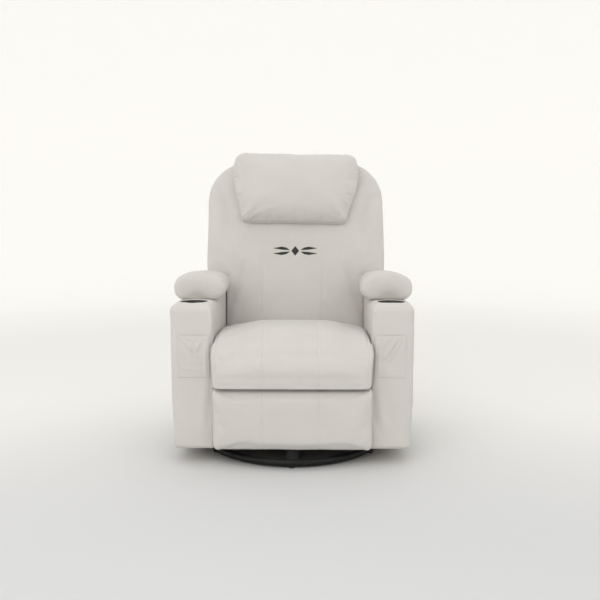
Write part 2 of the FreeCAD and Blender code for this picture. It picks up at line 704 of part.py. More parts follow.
def arm_cover():
    """The padded box of one arm, open underneath, with a hole for the cup holder."""
    outer = box((HALF_GAP, ARM_OUTER), (ARM_FRONT, ARM_REAR), (ARM_BOTTOM, ARM_TOP))
    soft = edges_along(outer, Z_AXIS)
    for axis in (X_AXIS, Y_AXIS):
        soft += edges_along(outer, axis, lambda middle: middle.z > ARM_TOP - 1)
    outer = outer.makeFillet(COVER_EDGE_R, soft)
    inner = box(
        (HALF_GAP + COVER_WALL, ARM_OUTER - COVER_WALL),
        (ARM_FRONT + COVER_WALL, ARM_REAR - COVER_WALL),
        (ARM_BOTTOM - 1, ARM_TOP - COVER_WALL),
    )
    cover = outer.cut(inner)
    cover = cover.cut(z_disc(CUP_OUTER_R + SOFT_GAP, ARM_MIDDLE, CUP_Y, ARM_TOP - 30, ARM_TOP + 1))
    for spot in ARM_BOLTS:
        cover = cover.cut(x_disc(ARM_BOLT_R, spot, HALF_GAP - 1, HALF_GAP + COVER_WALL + 1))
    return cover


def arm_frame():
    """The plywood box frame inside one arm."""
    x = (HALF_GAP + COVER_WALL + FIT_GAP, ARM_OUTER - COVER_WALL - FIT_GAP)
    y = (ARM_FRONT + COVER_WALL + FIT_GAP, ARM_REAR - COVER_WALL - FIT_GAP)
    z = (ARM_BOTTOM, ARM_TOP - COVER_WALL - FIT_GAP)
    t = ARM_BOARD_T
    behind_cup = CUP_Y + CUP_OUTER_R + 20
    frame = box(x, y, (z[0], z[0] + t))
    frame = frame.fuse(box(x, (y[0], y[0] + t), z))
    frame = frame.fuse(box(x, (y[1] - t, y[1]), z))
    frame = frame.fuse(box(x, (behind_cup, y[1]), (z[1] - t, z[1])))
    frame = frame.fuse(box((x[0], x[0] + t), (ARM_BOLTS[0][0] - 30, y[1]), z))
    frame = frame.fuse(box((x[1] - t, x[1]), (behind_cup, behind_cup + 40), z))
    frame = frame.fuse(box((x[0], x[0] + t), (behind_cup, behind_cup + 40), z))
    for spot in ARM_BOLTS:
        frame = frame.cut(x_disc(ARM_BOLT_R, spot, x[0] - 1, x[0] + t + 1))
    return frame.removeSplitter()


def cup_holder():
    """One moulded cup holder with a flat rim."""
    top = ARM_TOP + CUP_RIM_T
    floor = ARM_TOP - CUP_DEPTH
    cup = z_disc(CUP_OUTER_R, ARM_MIDDLE, CUP_Y, floor - CUP_WALL, top)
    cup = cup.fuse(z_disc(CUP_RIM_R, ARM_MIDDLE, CUP_Y, ARM_TOP, top))
    return cup.cut(z_disc(CUP_INNER_R, ARM_MIDDLE, CUP_Y, floor, top + 1)).removeSplitter()


def pad_section(y, inner, outer, height):
    """The arm pad's cross section at y: an oval with a flat foot."""
    z0 = ARM_TOP + SOFT_GAP
    foot_in, foot_out = inner + 34, outer - 20
    middle = (inner + outer) / 2
    waist = z0 + height * 0.48
    left = Part.Arc(V(foot_in, y, z0), V(inner + 3, y, waist - 24), V(inner, y, waist))
    crown = Part.Arc(V(inner, y, waist), V(middle, y, z0 + height), V(outer, y, waist))
    right = Part.Arc(V(outer, y, waist), V(outer - 3, y, waist - 24), V(foot_out, y, z0))
    base = Part.LineSegment(V(foot_out, y, z0), V(foot_in, y, z0))
    return Part.Wire([piece.toShape() for piece in (left, crown, right, base)])


def arm_pad():
    """One bolster on top of the arm, a little smaller towards the rear."""
    inner = HALF_GAP - ARM_PAD_INSET
    outer = inner + ARM_PAD_WIDTH
    front = pad_section(ARM_PAD_FRONT, inner, outer, ARM_PAD_H)
    rear = pad_section(ARM_PAD_BACK, inner + 12, outer - 6, ARM_PAD_H - 24)
    return Part.makeLoft([front, rear], True, True)


def front_pocket():
    """One flat pouch on the arm's front, open at the top: a panel and its three gusset strips."""
    x = (HALF_GAP + POCKET_MARGIN, ARM_OUTER - POCKET_OUTER_MARGIN)
    rear = ARM_FRONT - FIT_GAP
    face = rear - POCKET_GAP
    panel = box(x, (face - POCKET_T, face), (POCKET_BOTTOM, POCKET_TOP))
    inside = (x[0] + POCKET_T, x[1] - POCKET_T)
    bottom = box(inside, (face, rear), (POCKET_BOTTOM, POCKET_BOTTOM + POCKET_T))
    left = box((x[0], inside[0]), (face, rear), (POCKET_BOTTOM, POCKET_TOP))
    right = box((inside[1], x[1]), (face, rear), (POCKET_BOTTOM, POCKET_TOP))
    return [panel, bottom, left, right]


def bezel_spans(inset):
    """The (y, z) spans of the release latch's recess, pulled in by an inset."""
    y = (BEZEL_Y - BEZEL_LENGTH / 2 + inset, BEZEL_Y + BEZEL_LENGTH / 2 - inset)
    z = (BEZEL_Z - BEZEL_HEIGHT / 2 + inset, BEZEL_Z + BEZEL_HEIGHT / 2 - inset)
    return y, z


def paddle_hinge():
    """The (x, y) of the release paddle's upright hinge, on the sitter's right."""
    recess = bezel_spans(BEZEL_FLANGE + BEZEL_T)[0]
    return -(ARM_OUTER - 5.0), recess[0] + 5.0


def make_release():
    """The flush latch on the outside of the sitter's right arm."""
    flange_y, flange_z = bezel_spans(0)
    cup_y, cup_z = bezel_spans(BEZEL_FLANGE)
    recess_y, recess_z = bezel_spans(BEZEL_FLANGE + BEZEL_T)
    face = -(ARM_OUTER + BEZEL_T)
    floor = -(ARM_OUTER - BEZEL_DEPTH)
    bezel = box((face, -ARM_OUTER), flange_y, flange_z)
    bezel = bezel.fuse(box((-ARM_OUTER, floor), cup_y, cup_z))
    bezel = bezel.cut(box((face - 1, floor - BEZEL_T), recess_y, recess_z))
    hinge_x, hinge_y = paddle_hinge()
    pin = z_disc(PADDLE_PIN_R, hinge_x, hinge_y, recess_z[0] - BEZEL_T, recess_z[1] + BEZEL_T)
    bezel = bezel.cut(pin)

    x_span = (hinge_x - PADDLE_T / 2, hinge_x + PADDLE_T / 2)
    y_span = (hinge_y, recess_y[0] + PADDLE_LENGTH)
    z_span = (recess_z[0] + 1, recess_z[1] - 1)
    paddle = box(x_span, y_span, z_span)
    paddle = paddle.fuse(z_disc(PADDLE_PIN_R + 2, hinge_x, hinge_y, *z_span))
    bore = z_disc(PADDLE_PIN_R + RUNNING, hinge_x, hinge_y, *flange_z)
    return {
        "release_bezel": [bezel.removeSplitter(), pin],
        "release_paddle": [paddle.cut(bore).removeSplitter()],
    }


def make_arms():
    """Both arms with everything on them."""
    cover, frame = arm_cover(), arm_frame()
    right_cover = mirrored(cover)
    cup_y, cup_z = bezel_spans(BEZEL_FLANGE)
    hole = box((-ARM_OUTER - 1, -ARM_OUTER + COVER_WALL + 1), cup_y, cup_z)
    nodes = {
        "left_arm_cover": [cover],
        "right_arm_cover": solids(right_cover.cut(hole)),
        "arm_frames": pair(frame),
    }
    for side, place in (("left", lambda s: s), ("right", mirrored)):
        nodes[side + "_arm_pad"] = [place(arm_pad())]
        nodes[side + "_cup_holder"] = [place(cup_holder())]
        nodes[side + "_front_pocket"] = [place(piece) for piece in front_pocket()]

    discs = []
    for x in (HALF_GAP + 30, ARM_OUTER - 30):
        for y in (ARM_FRONT + 35, ARM_REAR - 35):
            discs += pair(z_disc(GLIDE_DISC_R, x, y, ARM_BOTTOM - GLIDE_DISC_T, ARM_BOTTOM))
    spacers, bolts = [], []
    tip = HALF_GAP + COVER_WALL + FIT_GAP + ARM_BOARD_T
    for spot in ARM_BOLTS:
        spacer = x_disc(SPACER_R, spot, PLATE_OUT, HALF_GAP)
        spacers += pair(spacer.cut(x_disc(ARM_BOLT_R, spot, PLATE_OUT - 1, HALF_GAP + 1)))
        bolt = x_disc(ARM_BOLT_R, spot, PLATE_IN - 5, tip)
        bolts += pair(bolt.fuse(x_disc(7.0, spot, PLATE_IN - 5, PLATE_IN)).removeSplitter())
    y1 = ARM_REAR - REAR_PANEL_INSET
    half = HALF_GAP - FIT_GAP
    panel = box((-half, half), (y1 - REAR_PANEL_T, y1), (ARM_BOTTOM, REAR_PANEL_TOP))
    nodes["arm_bottom_glides"] = discs
    nodes["arm_spacers"] = spacers
    nodes["arm_bolts"] = bolts
    nodes["rear_lower_panel"] = [panel]
    return nodes


# ---------------------------------------------------------------- back, built upright from the recline pivot


def back_outline(inset):
    """The back's outline as a wire in the plane y = 0: narrow between the arms, wide above, round shoulders."""
    low = HALF_GAP - 6 - inset
    wide = BACK_WIDTH / 2 - inset
    radius = SHOULDER_R - inset
    foot, wing, top = BACK_FOOT + inset, WING_FOOT + inset, BACK_HEIGHT - inset
    corner = V(wide - radius, 0, top - radius)
    bend = corner + V(radius * math.cos(math.pi / 4), 0, radius * math.sin(math.pi / 4))
    right = [V(low, 0, foot), V(low, 0, wing), V(wide, 0, wing), V(wide, 0, corner.z)]
    edges = [Part.LineSegment(a, b).toShape() for a, b in zip(right, right[1:])]
    edges.append(Part.Arc(right[-1], bend, V(corner.x, 0, top)).toShape())
    other = [V(-p.x, 0, p.z) for p in right]
    edges += [Part.LineSegment(a, b).toShape() for a, b in zip(other, other[1:])]
    bend = V(-bend.x, 0, bend.z)
    edges.append(Part.Arc(other[-1], bend, V(-corner.x, 0, top)).toShape())
    edges.append(Part.LineSegment(right[0], other[0]).toShape())
    edges.append(Part.LineSegment(V(corner.x, 0, top), V(-corner.x, 0, top)).toShape())
    return Part.Wire(Part.__sortEdges__(edges))


def back_slab(inset, y0, y1):
    """The back's outline as a slab between two depths."""
    face = Part.Face(back_outline(inset))
    face.translate(V(0, y0, 0))
    return face.extrude(V(0, y1 - y0, 0))


def back_bracket():
    """One steel arm from the recline pin up into the back frame."""
    x = (BRACKET_X, BRACKET_X + BRACKET_T)
    r = BRACKET_W / 2
    y0 = CUSHION_BACK + FIT_GAP + 4
    plate = x_disc(r, (0, 0), *x).fuse(box(x, (0, y0 + BRACKET_W), (-r, r)))
    plate = plate.fuse(box(x, (y0, y0 + BRACKET_W), (-r, BRACKET_RISE)))
    return plate.cut(x_disc(BACK_PIN_R + RUNNING, (0, 0), x[0] - 1, x[1] + 1)).removeSplitter()


def make_back():
    """Cushion, frame, webbing, rear shell, brackets and head pillow, leant back at the recline pivot."""
    shell_front = CUSHION_BACK + FIT_GAP
    shell = back_slab(0, shell_front, BACK_REAR)
    shell = shell.cut(back_slab(SHELL_WALL, shell_front - 1, BACK_REAR - SHELL_WALL))
    slot_x = (BRACKET_X - FIT_GAP, BRACKET_X + BRACKET_T + FIT_GAP)
    slot_y = (shell_front, shell_front + 4 + BRACKET_W + 4)
    slot = box(slot_x, slot_y, (BACK_FOOT - 1, BACK_FOOT + SHELL_WALL + 1))
    for piece in pair(slot):
        shell = shell.cut(piece)

    inset = SHELL_WALL + FIT_GAP
    frame_y = (shell_front + 1, shell_front + 1 + FRAME_DEPTH)
    frame = back_slab(inset, *frame_y)
    post = BRACKET_X + BRACKET_T
    rail_z = BACK_FOOT + inset + FRAME_RAIL
    top_z = BACK_HEIGHT - inset - FRAME_RAIL
    lower = box((-post, post), (frame_y[0] - 1, frame_y[1] + 1), (rail_z, WING_FOOT))
    upper_half = BACK_WIDTH / 2 - inset - FRAME_RAIL - SHOULDER_R / 3
    upper_z = (WING_FOOT + FRAME_RAIL, top_z)
    upper = box((-upper_half, upper_half), (frame_y[0] - 1, frame_y[1] + 1), upper_z)
    frame = frame.cut(lower).cut(upper)
    for piece in pair(box((BRACKET_X, post), (frame_y[0] - 1, frame_y[1] + 1), (0, rail_z + 1))):
        frame = frame.cut(piece)
    frame = max(solids(frame.removeSplitter()), key=lambda s: s.Volume)

    webs = []
    for i in range(WEB_COUNT):
        z = upper_z[0] + (i + 0.5) * (upper_z[1] - upper_z[0]) / WEB_COUNT
        span = (z - WEB_W / 2, z + WEB_W / 2)
        webs.append(box((-upper_half, upper_half), (frame_y[0], frame_y[0] + WEB_T), span))

    pillow_y = (PILLOW_BACK - PILLOW_T, PILLOW_BACK)
    pillow = box((-PILLOW_HALF_W, PILLOW_HALF_W), pillow_y, (PILLOW_BOTTOM, PILLOW_TOP))
    rounded = edges_along(pillow, X_AXIS, lambda middle: middle.y < PILLOW_BACK - 1)
    rounded += edges_along(pillow, Y_AXIS)
    pillow = pillow.makeFillet(30.0, rounded)

    half = (-STRAP_HALF_W, STRAP_HALF_W)
    strap_z = BACK_HEIGHT + SOFT_GAP
    rear = BACK_REAR + SOFT_GAP
    strap = box(half, (PILLOW_BACK + FIT_GAP, rear + STRAP_T), (strap_z, strap_z + STRAP_T))
    strap = strap.fuse(box(half, (rear, rear + STRAP_T), (strap_z - STRAP_DROP, strap_z)))

    pieces = {
        "back_cushion": [back_slab(0, BACK_FRONT, CUSHION_BACK)],
        "back_rear_shell": [shell],
        "back_frame": [frame],
        "back_webbing": webs,
        "back_brackets": pair(back_bracket()),
        "head_pillow": [pillow],
        "pillow_flap": [strap.removeSplitter()],
    }
    pivot = V(0, *BACK_PIVOT)
    for shapes in pieces.values():
        for i, shape in enumerate(shapes):
            moved = shape.copy()
            moved.translate(pivot)
            moved.rotate(pivot, X_AXIS, -BACK_LEAN)
            shapes[i] = moved
    return pieces


# ---------------------------------------------------------------- the whole chair


def make_all():
    """Every node as {name: [solids]}, placed from midway between the swing links."""
    nodes = {}
    for make in (
        make_base,
        make_glider_base,
        make_swing_links,
        make_carriage,
        make_footrest_links,
        make_footrest,
        make_seat,
        make_arms,
        make_release,
        make_back,
    ):
        nodes.update(make())
    return nodes


def footprint_shift(nodes):
    """The move along Y that puts the origin in the middle of the footprint."""
    boxes = [shape.BoundBox for shapes in nodes.values() for shape in shapes]
    return -(min(b.YMin for b in boxes) + max(b.YMax for b in boxes)) / 2


def save_all():
    """Writes one STEP file a node and returns the move along Y that all of them got."""
    nodes = make_all()
    shift = footprint_shift(nodes)
    os.makedirs("parts", exist_ok=True)
    for name, shapes in sorted(nodes.items()):
        parts = [solid for shape in shapes for solid in shape.Solids]
        for solid in parts:
            if not solid.isValid() or solid.Volume <= 0:
                raise ValueError(name + " has a faulty solid")
        whole = Part.makeCompound(parts) if len(parts) > 1 else parts[0]
        whole.translate(V(0, shift, 0))
        whole.exportStep("parts/" + name + ".step")
    print(len(nodes), "nodes, swivel axis at y =", round(SWIVEL_Y + shift, 4))
    return shift


SHIFT = save_all()
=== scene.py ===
"""Looks of a glider nursery chair: stuffed cushions, upholstered arms, steel base and studio."""

import json
import logging
import math
import random
from dataclasses import dataclass, field
from enum import Enum
from typing import Any, Callable, Iterable, Sequence

import bmesh
import bpy
import numpy as np
from mathutils import Matrix, Vector, noise
from mathutils.bvhtree import BVHTree


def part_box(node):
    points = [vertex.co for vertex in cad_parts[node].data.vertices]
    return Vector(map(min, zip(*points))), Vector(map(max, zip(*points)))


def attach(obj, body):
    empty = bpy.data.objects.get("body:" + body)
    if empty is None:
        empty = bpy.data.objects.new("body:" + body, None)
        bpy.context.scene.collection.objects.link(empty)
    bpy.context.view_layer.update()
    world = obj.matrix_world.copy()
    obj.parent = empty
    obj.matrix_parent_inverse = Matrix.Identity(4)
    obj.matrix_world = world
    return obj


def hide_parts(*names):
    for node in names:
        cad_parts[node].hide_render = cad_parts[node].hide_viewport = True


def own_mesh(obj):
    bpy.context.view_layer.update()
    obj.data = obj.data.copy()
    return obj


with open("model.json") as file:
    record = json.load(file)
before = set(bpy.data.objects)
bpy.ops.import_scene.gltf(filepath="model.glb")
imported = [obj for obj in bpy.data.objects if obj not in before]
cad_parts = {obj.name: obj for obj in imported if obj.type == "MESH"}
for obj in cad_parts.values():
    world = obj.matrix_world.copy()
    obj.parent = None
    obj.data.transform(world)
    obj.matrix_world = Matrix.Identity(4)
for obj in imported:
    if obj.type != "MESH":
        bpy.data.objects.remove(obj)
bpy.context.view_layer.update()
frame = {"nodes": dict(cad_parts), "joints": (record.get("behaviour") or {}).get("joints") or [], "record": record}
LOG = logging.getLogger("recliner")

Span = tuple[float, float]
Color = tuple[float, float, float]

SIDES = (-1, 1)
STITCH_GAP = 0.0028  # how far beside its seam a row of stitches lies


class Body(Enum):
    """The moving bodies that pieces ride on."""

    SEAT = "seat"
    BACK = "backrest"
    FOOTREST = "footrest"


class Slot(Enum):
    """The record's material slots."""

    UPHOLSTERY = "upholstery"
    BLACK_STEEL = "black_steel"
    PLATED_STEEL = "plated_steel"
    SPRING_WIRE = "spring_wire"
    PLYWOOD = "plywood"
    DECK_CLOTH = "deck_cloth"
    WEBBING = "webbing"
    NYLON = "nylon"
    RUBBER = "rubber"
    BLACK_PLASTIC = "black_plastic"
    DARK_PLASTIC = "dark_plastic"


# ---------------------------------------------------------------- shader graphs


class Value:
    """A number, colour or vector on its way through a shader graph, with arithmetic."""

    def __init__(self, graph: "Graph", socket: bpy.types.NodeSocket) -> None:
        """Wraps a socket.

        Args:
            graph: the graph that the socket belongs to.
            socket: an output socket.
        """
        self.graph = graph
        self.socket = socket

    def _join(self, operation: str, left: Any, right: Any = 0.0) -> "Value":
        """Adds one Math node and returns its result."""
        return self.graph.node("ShaderNodeMath", {"operation": operation}, {0: left, 1: right})

    def __add__(self, other: Any) -> "Value":
        """self + other."""
        return self._join("ADD", self, other)

    def __radd__(self, other: Any) -> "Value":
        """other + self."""
        return self._join("ADD", other, self)

    def __sub__(self, other: Any) -> "Value":
        """self - other."""
        return self._join("SUBTRACT", self, other)

    def __rsub__(self, other: Any) -> "Value":
        """other - self."""
        return self._join("SUBTRACT", other, self)

    def __mul__(self, other: Any) -> "Value":
        """self * other."""
        return self._join("MULTIPLY", self, other)

    def __rmul__(self, other: Any) -> "Value":
        """other * self."""
        return self._join("MULTIPLY", other, self)

    def __pow__(self, other: Any) -> "Value":
        """self to the power of other."""
        return self._join("POWER", self, other)

    def sine(self) -> "Value":
        """The sine."""
        return self._join("SINE", self)

    def size(self) -> "Value":
        """The value without its sign."""
        return self._join("ABSOLUTE", self)

    def ramp(self, low: float, high: float) -> "Value":
        """0 at low and 1 at high, smooth between.

        Args:
            low: where it leaves 0.
            high: where it reaches 1.

        Returns:
            The share.
        """
        settings = {"interpolation_type": "SMOOTHSTEP"}
        inputs = {"Value": self, "From Min": low, "From Max": high}
        return self.graph.node("ShaderNodeMapRange", settings, inputs)


class Graph:
    """A material's node tree in the making."""

    def __init__(self, name: str) -> None:
        """Starts an empty tree with one Principled shader.

        Args:
            name: the material's name.
        """
        self.material = bpy.data.materials.new(name)
        self.material.use_nodes = True
        self.tree = self.material.node_tree
        self.tree.nodes.clear()
        output = self.tree.nodes.new("ShaderNodeOutputMaterial")
        self.shader = self.tree.nodes.new("ShaderNodeBsdfPrincipled")
        self.tree.links.new(self.shader.outputs[0], output.inputs["Surface"])

    def node(
        self,
        kind: str,
        settings: dict[str, Any] | None = None,
        inputs: dict[Any, Any] | None = None,
        output: Any = 0,
    ) -> Value:
        """Adds any node.

        Args:
            kind: the node's type name.
            settings: its properties, set first.
            inputs: socket name or number to a value or link.
            output: the output socket to return.

        Returns:
            The chosen output.
        """
        made = self.tree.nodes.new(kind)
        for key, value in (settings or {}).items():
            setattr(made, key, value)
        for key, value in (inputs or {}).items():
            self.feed(made.inputs[key], value)
        return Value(self, made.outputs[output])

    def feed(self, socket: bpy.types.NodeSocket, value: Any) -> None:
        """Sets or links one input socket.

        Args:
            socket: the input.
            value: a number, colour or link.
        """
        if isinstance(value, Value):
            self.tree.links.new(value.socket, socket)
        else:
            socket.default_value = value

    def place(self) -> Value:
        """Object coordinates."""
        return self.node("ShaderNodeTexCoord", output="Object")

    def axes(self, vector: Value) -> tuple[Value, Value, Value]:
        """A vector's three parts.

        Args:
            vector: the vector.

        Returns:
            x, y and z.
        """
        split = self.node("ShaderNodeSeparateXYZ", inputs={0: vector})
        outputs = split.socket.node.outputs
        return Value(self, outputs[0]), Value(self, outputs[1]), Value(self, outputs[2])

    def stretched(self, scale: Color) -> Value:
        """Object coordinates scaled by a different amount along each axis."""
        inputs = {"Vector": self.place(), "Scale": scale}
        return self.node("ShaderNodeMapping", inputs=inputs)

    def noise(self, scale: float, detail: float = 2.0, along: Color = (1, 1, 1)) -> Value:
        """Fractal noise from 0 to 1, drawn out along the axes where along is small."""
        inputs = {"Vector": self.stretched(along), "Scale": scale, "Detail": detail}
        return self.node("ShaderNodeTexNoise", inputs=inputs)

    def blend(self, amount: Any, first: Any, second: Any) -> Value:
        """A colour between two colours.

        Args:
            amount: 0 for the first colour, 1 for the second.
            first: a colour or a link.
            second: a colour or a link.

        Returns:
            The mixed colour.
        """
        made = self.tree.nodes.new("ShaderNodeMix")
        made.data_type = "RGBA"
        for key, value in ((0, amount), (6, first), (7, second)):
            four = (*value, 1.0) if isinstance(value, tuple) else value
            self.feed(made.inputs[key], four)
        return Value(self, made.outputs[2])

    def bump(self, height: Value, depth: float, strength: float = 1.0) -> None:
        """Raises the surface by a height pattern.

        Args:
            height: the pattern.
            depth: metres per unit of height.
            strength: how much of it shows.
        """
        inputs = {"Height": height, "Distance": depth, "Strength": strength}
        self.set("Normal", self.node("ShaderNodeBump", inputs=inputs))

    def set(self, name: str, value: Any) -> None:
        """Sets or links one of the shader's sockets.

        Args:
            name: the socket's name.
            value: a number, colour or link.
        """
        if isinstance(value, tuple) and len(value) == 3:
            value = (*value, 1.0)
        self.feed(self.shader.inputs[name], value)


# ---------------------------------------------------------------- finishes


def shade(color: Color, factor: float) -> Color:
    """A colour made lighter or darker by a factor."""
    return (color[0] * factor, color[1] * factor, color[2] * factor)


@dataclass(frozen=True)
class Upholstery:
    """Fine plain-weave furnishing cloth with slubs, soft mottling and painted shade darkening its seams and
    creases.
    """

    name: str = "furnishing_cloth"
    color: Color = (0.653, 0.631, 0.600)
    thread: float = 0.0011
    relief: float = 0.00016

    def weave(self, u: Value, v: Value) -> Value:
        """The over and under pattern of two thread directions."""
        pace = math.pi / self.thread
        return (u * pace).sine() * (v * pace).sine()

    def build(self) -> bpy.types.Material:
        """Makes the material.

        Returns:
            The finished material.
        """
        graph = Graph(self.name)
        x, y, z = graph.axes(graph.place())
        facing = graph.node("ShaderNodeTexCoord", output="Normal")
        nx, ny, nz = (part.size() for part in graph.axes(facing))
        weave = self.weave(y, z) * nx + self.weave(x, z) * ny + self.weave(x, y) * nz
        flat = graph.noise(95.0, 2.0, (1.0, 1.0, 9.0))
        upright = graph.noise(95.0, 2.0, (9.0, 9.0, 1.0))
        slub = (flat.ramp(0.55, 0.75) + upright.ramp(0.55, 0.75)) * 0.5
        mottle = graph.noise(9.0, 3.0)
        grain = graph.noise(420.0, 2.0)
        # The seam attribute holds painted shade: the cloth is darkened where seams, creases and gathers would hold
        # shade.
        seam = graph.node("ShaderNodeAttribute", {"attribute_name": "seam"}, output="Fac")
        dark = shade(self.color, 0.982)
        light = shade(self.color, 1.016)
        color = graph.blend(mottle.ramp(0.3, 0.7), dark, light)
        color = graph.blend(slub * 0.30, color, shade(self.color, 1.10))
        color = graph.blend((0.5 - weave * 0.5) * 0.15, color, shade(self.color, 0.72))
        color = graph.blend(grain.ramp(0.35, 0.7) * 0.12, color, shade(self.color, 0.84))
        color = graph.blend(seam * 0.55, color, shade(self.color, 0.55))
        graph.set("Base Color", color)
        graph.set("Roughness", 0.86 + mottle * 0.08)
        graph.set("Sheen Weight", 0.18)
        graph.set("Sheen Roughness", 0.55)
        graph.set("Specular IOR Level", 0.22)
        graph.bump(weave * 0.55 + slub * 0.9 + grain * 0.5, self.relief, 0.6)
        return graph.material


@dataclass(frozen=True)
class Enamel:
    """Baked black enamel on steel, with orange peel, dust and worn bare spots."""

    name: str = "black_enamel"
    color: Color = (0.006, 0.006, 0.0065)
    roughness: float = 0.36

    def build(self) -> bpy.types.Material:
        """Makes the material.

        Returns:
            The finished material.
        """
        graph = Graph(self.name)
        peel = graph.noise(520.0, 1.0)
        dust = graph.noise(26.0, 4.0)
        wear = graph.noise(60.0, 6.0).ramp(0.70, 0.76)
        color = graph.blend(dust.ramp(0.45, 0.8) * 0.3, self.color, (0.022, 0.0215, 0.021))
        color = graph.blend(wear * 0.4, color, (0.07, 0.07, 0.07))
        graph.set("Base Color", color)
        graph.set("Roughness", self.roughness + dust * 0.18 + wear * 0.1)
        graph.set("Specular IOR Level", 0.28)
        graph.bump(peel, 0.00006, 0.5)
        return graph.material


@dataclass(frozen=True)
class Plated:
    """Zinc-plated or drawn steel with fine tool marks."""

    name: str = "plated_steel"
    color: Color = (0.50, 0.50, 0.48)
    roughness: float = 0.30

    def build(self) -> bpy.types.Material:
        """Makes the material.

        Returns:
            The finished material.
        """
        graph = Graph(self.name)
        marks = graph.noise(260.0, 3.0, (1.0, 7.0, 7.0))
        stain = graph.noise(45.0, 4.0).ramp(0.4, 0.75)
        graph.set("Base Color", graph.blend(stain * 0.5, self.color, shade(self.color, 0.62)))
        graph.set("Metallic", 0.95 - stain * 0.15)
        graph.set("Roughness", self.roughness + marks * 0.2 + stain * 0.12)
        graph.bump(marks, 0.00003, 0.6)
        return graph.material


@dataclass(frozen=True)
class Plywood:
    """Unfinished birch plywood with long grain, fine pores and a few darker knots."""

    name: str = "birch_plywood"
    color: Color = (0.56, 0.40, 0.235)

    def build(self) -> bpy.types.Material:
        """Makes the material.

        Returns:
            The finished material.
        """
        graph = Graph(self.name)
        grain = graph.noise(34.0, 5.0, (1.0, 9.0, 9.0))
        pores = graph.noise(210.0, 2.0, (1.0, 12.0, 12.0))
        knots = graph.noise(7.0, 2.0)
        color = graph.blend(grain.ramp(0.3, 0.75), shade(self.color, 1.12), shade(self.color, 0.66))
        color = graph.blend(knots.ramp(0.62, 0.8) * 0.4, color, shade(self.color, 0.45))
        graph.set("Base Color", color)
        graph.set("Roughness", 0.62 + grain * 0.2)
        graph.bump(grain + pores * 0.5, 0.0002, 0.7)
        return graph.material


@dataclass(frozen=True)
class Moulded:
    """Injection-moulded plastic with a fine spark texture."""

    name: str
    color: Color
    roughness: float
    texture: float = 0.00004

    def build(self) -> bpy.types.Material:
        """Makes the material.

        Returns:
            The finished material.
        """
        graph = Graph(self.name)
        spark = graph.noise(900.0, 2.0)
        wipe = graph.noise(18.0, 4.0, (1.0, 1.0, 3.0))
        lighter = tuple(min(part * 1.6 + 0.01, 1.0) for part in self.color)
        graph.set("Base Color", graph.blend(wipe.ramp(0.4, 0.8) * 0.4, self.color, lighter))
        graph.set("Roughness", self.roughness + wipe * 0.16)
        graph.bump(spark, self.texture, 0.7)
        return graph.material


@dataclass(frozen=True)
class Strapping:
    """Coarse woven strap or dust cloth."""

    name: str
    color: Color
    rib: float = 0.0022

    def build(self) -> bpy.types.Material:
        """Makes the material.

        Returns:
            The finished material.
        """
        graph = Graph(self.name)
        x, y, z = graph.axes(graph.place())
        pace = math.pi / self.rib
        ribs = (x * pace).sine() * ((z + y) * pace).sine()
        lint = graph.noise(160.0, 3.0)
        color = graph.blend((ribs * 0.5 + 0.5) * 0.6, shade(self.color, 0.6), shade(self.color, 1.5))
        graph.set("Base Color", graph.blend(lint.ramp(0.5, 0.8) * 0.25, color, shade(self.color, 2.6)))
        graph.set("Roughness", 0.84 + lint * 0.1)
        graph.bump(ribs + lint * 0.4, 0.0004, 0.7)
        return graph.material


@dataclass(frozen=True)
class Thread:
    """Twisted sewing or embroidery thread."""

    name: str
    color: Color
    twist: float = 0.0009
    relief: float = 0.0002

    def build(self) -> bpy.types.Material:
        """Makes the material.

        Returns:
            The finished material.
        """
        graph = Graph(self.name)
        x, y, z = graph.axes(graph.place())
        strands = ((x * 0.35 + z) * (math.pi * 2 / self.twist) + y * 90.0).sine() * 0.5 + 0.5
        fuzz = graph.noise(700.0, 2.0)
        color = graph.blend(strands, shade(self.color, 0.7), shade(self.color, 1.35))
        graph.set("Base Color", graph.blend(fuzz * 0.2, color, shade(self.color, 1.5)))
        graph.set("Roughness", 0.58 + fuzz * 0.2)
        graph.set("Sheen Weight", 0.2)
        graph.bump(strands + fuzz * 0.3, self.relief, 0.7)
        return graph.material


@dataclass(frozen=True)
class StudioPaper:
    """Seamless paper, pale grey on the floor near the chair's front and near white beyond, with a painted shadow
    under the chair.
    """

    name: str = "studio_paper"
    near: Color = (0.68, 0.684, 0.692)
    far: Color = (0.90, 0.893, 0.868)
    glow: float = 0.16

    def build(self) -> bpy.types.Material:
        """Makes the material.

        Returns:
            The finished material.
        """
        graph = Graph(self.name)
        x, y, z = graph.axes(graph.place())
        wall = (x * x + y * y) ** 0.5
        back = (y + x.size() * 0.3).ramp(-0.85, 0.9)
        tooth = graph.noise(120.0, 2.0)
        color = graph.blend(back, self.near, self.far)
        color = graph.blend(z.ramp(0.05, 1.2), color, self.far)
        color = graph.blend(tooth * 0.02, color, (0.4, 0.4, 0.4))
        # Painted shadow: the floor inside the base ring is darkened to stand in for the deep shade under the
        # chair.
        under = 1.0 - (x * x + (y + 0.09) * (y + 0.09)).ramp(0.06, 0.14)
        color = graph.blend(under * 0.75, color, (0.05, 0.05, 0.05))
        graph.set("Base Color", color)
        graph.set("Roughness", 0.9)
        graph.set("Specular IOR Level", 0.1)
        graph.set("Emission Color", graph.blend(wall.ramp(2.0, 5.2), (0.0, 0.0, 0.0), self.far))
        graph.set("Emission Strength", self.glow)
        return graph.material


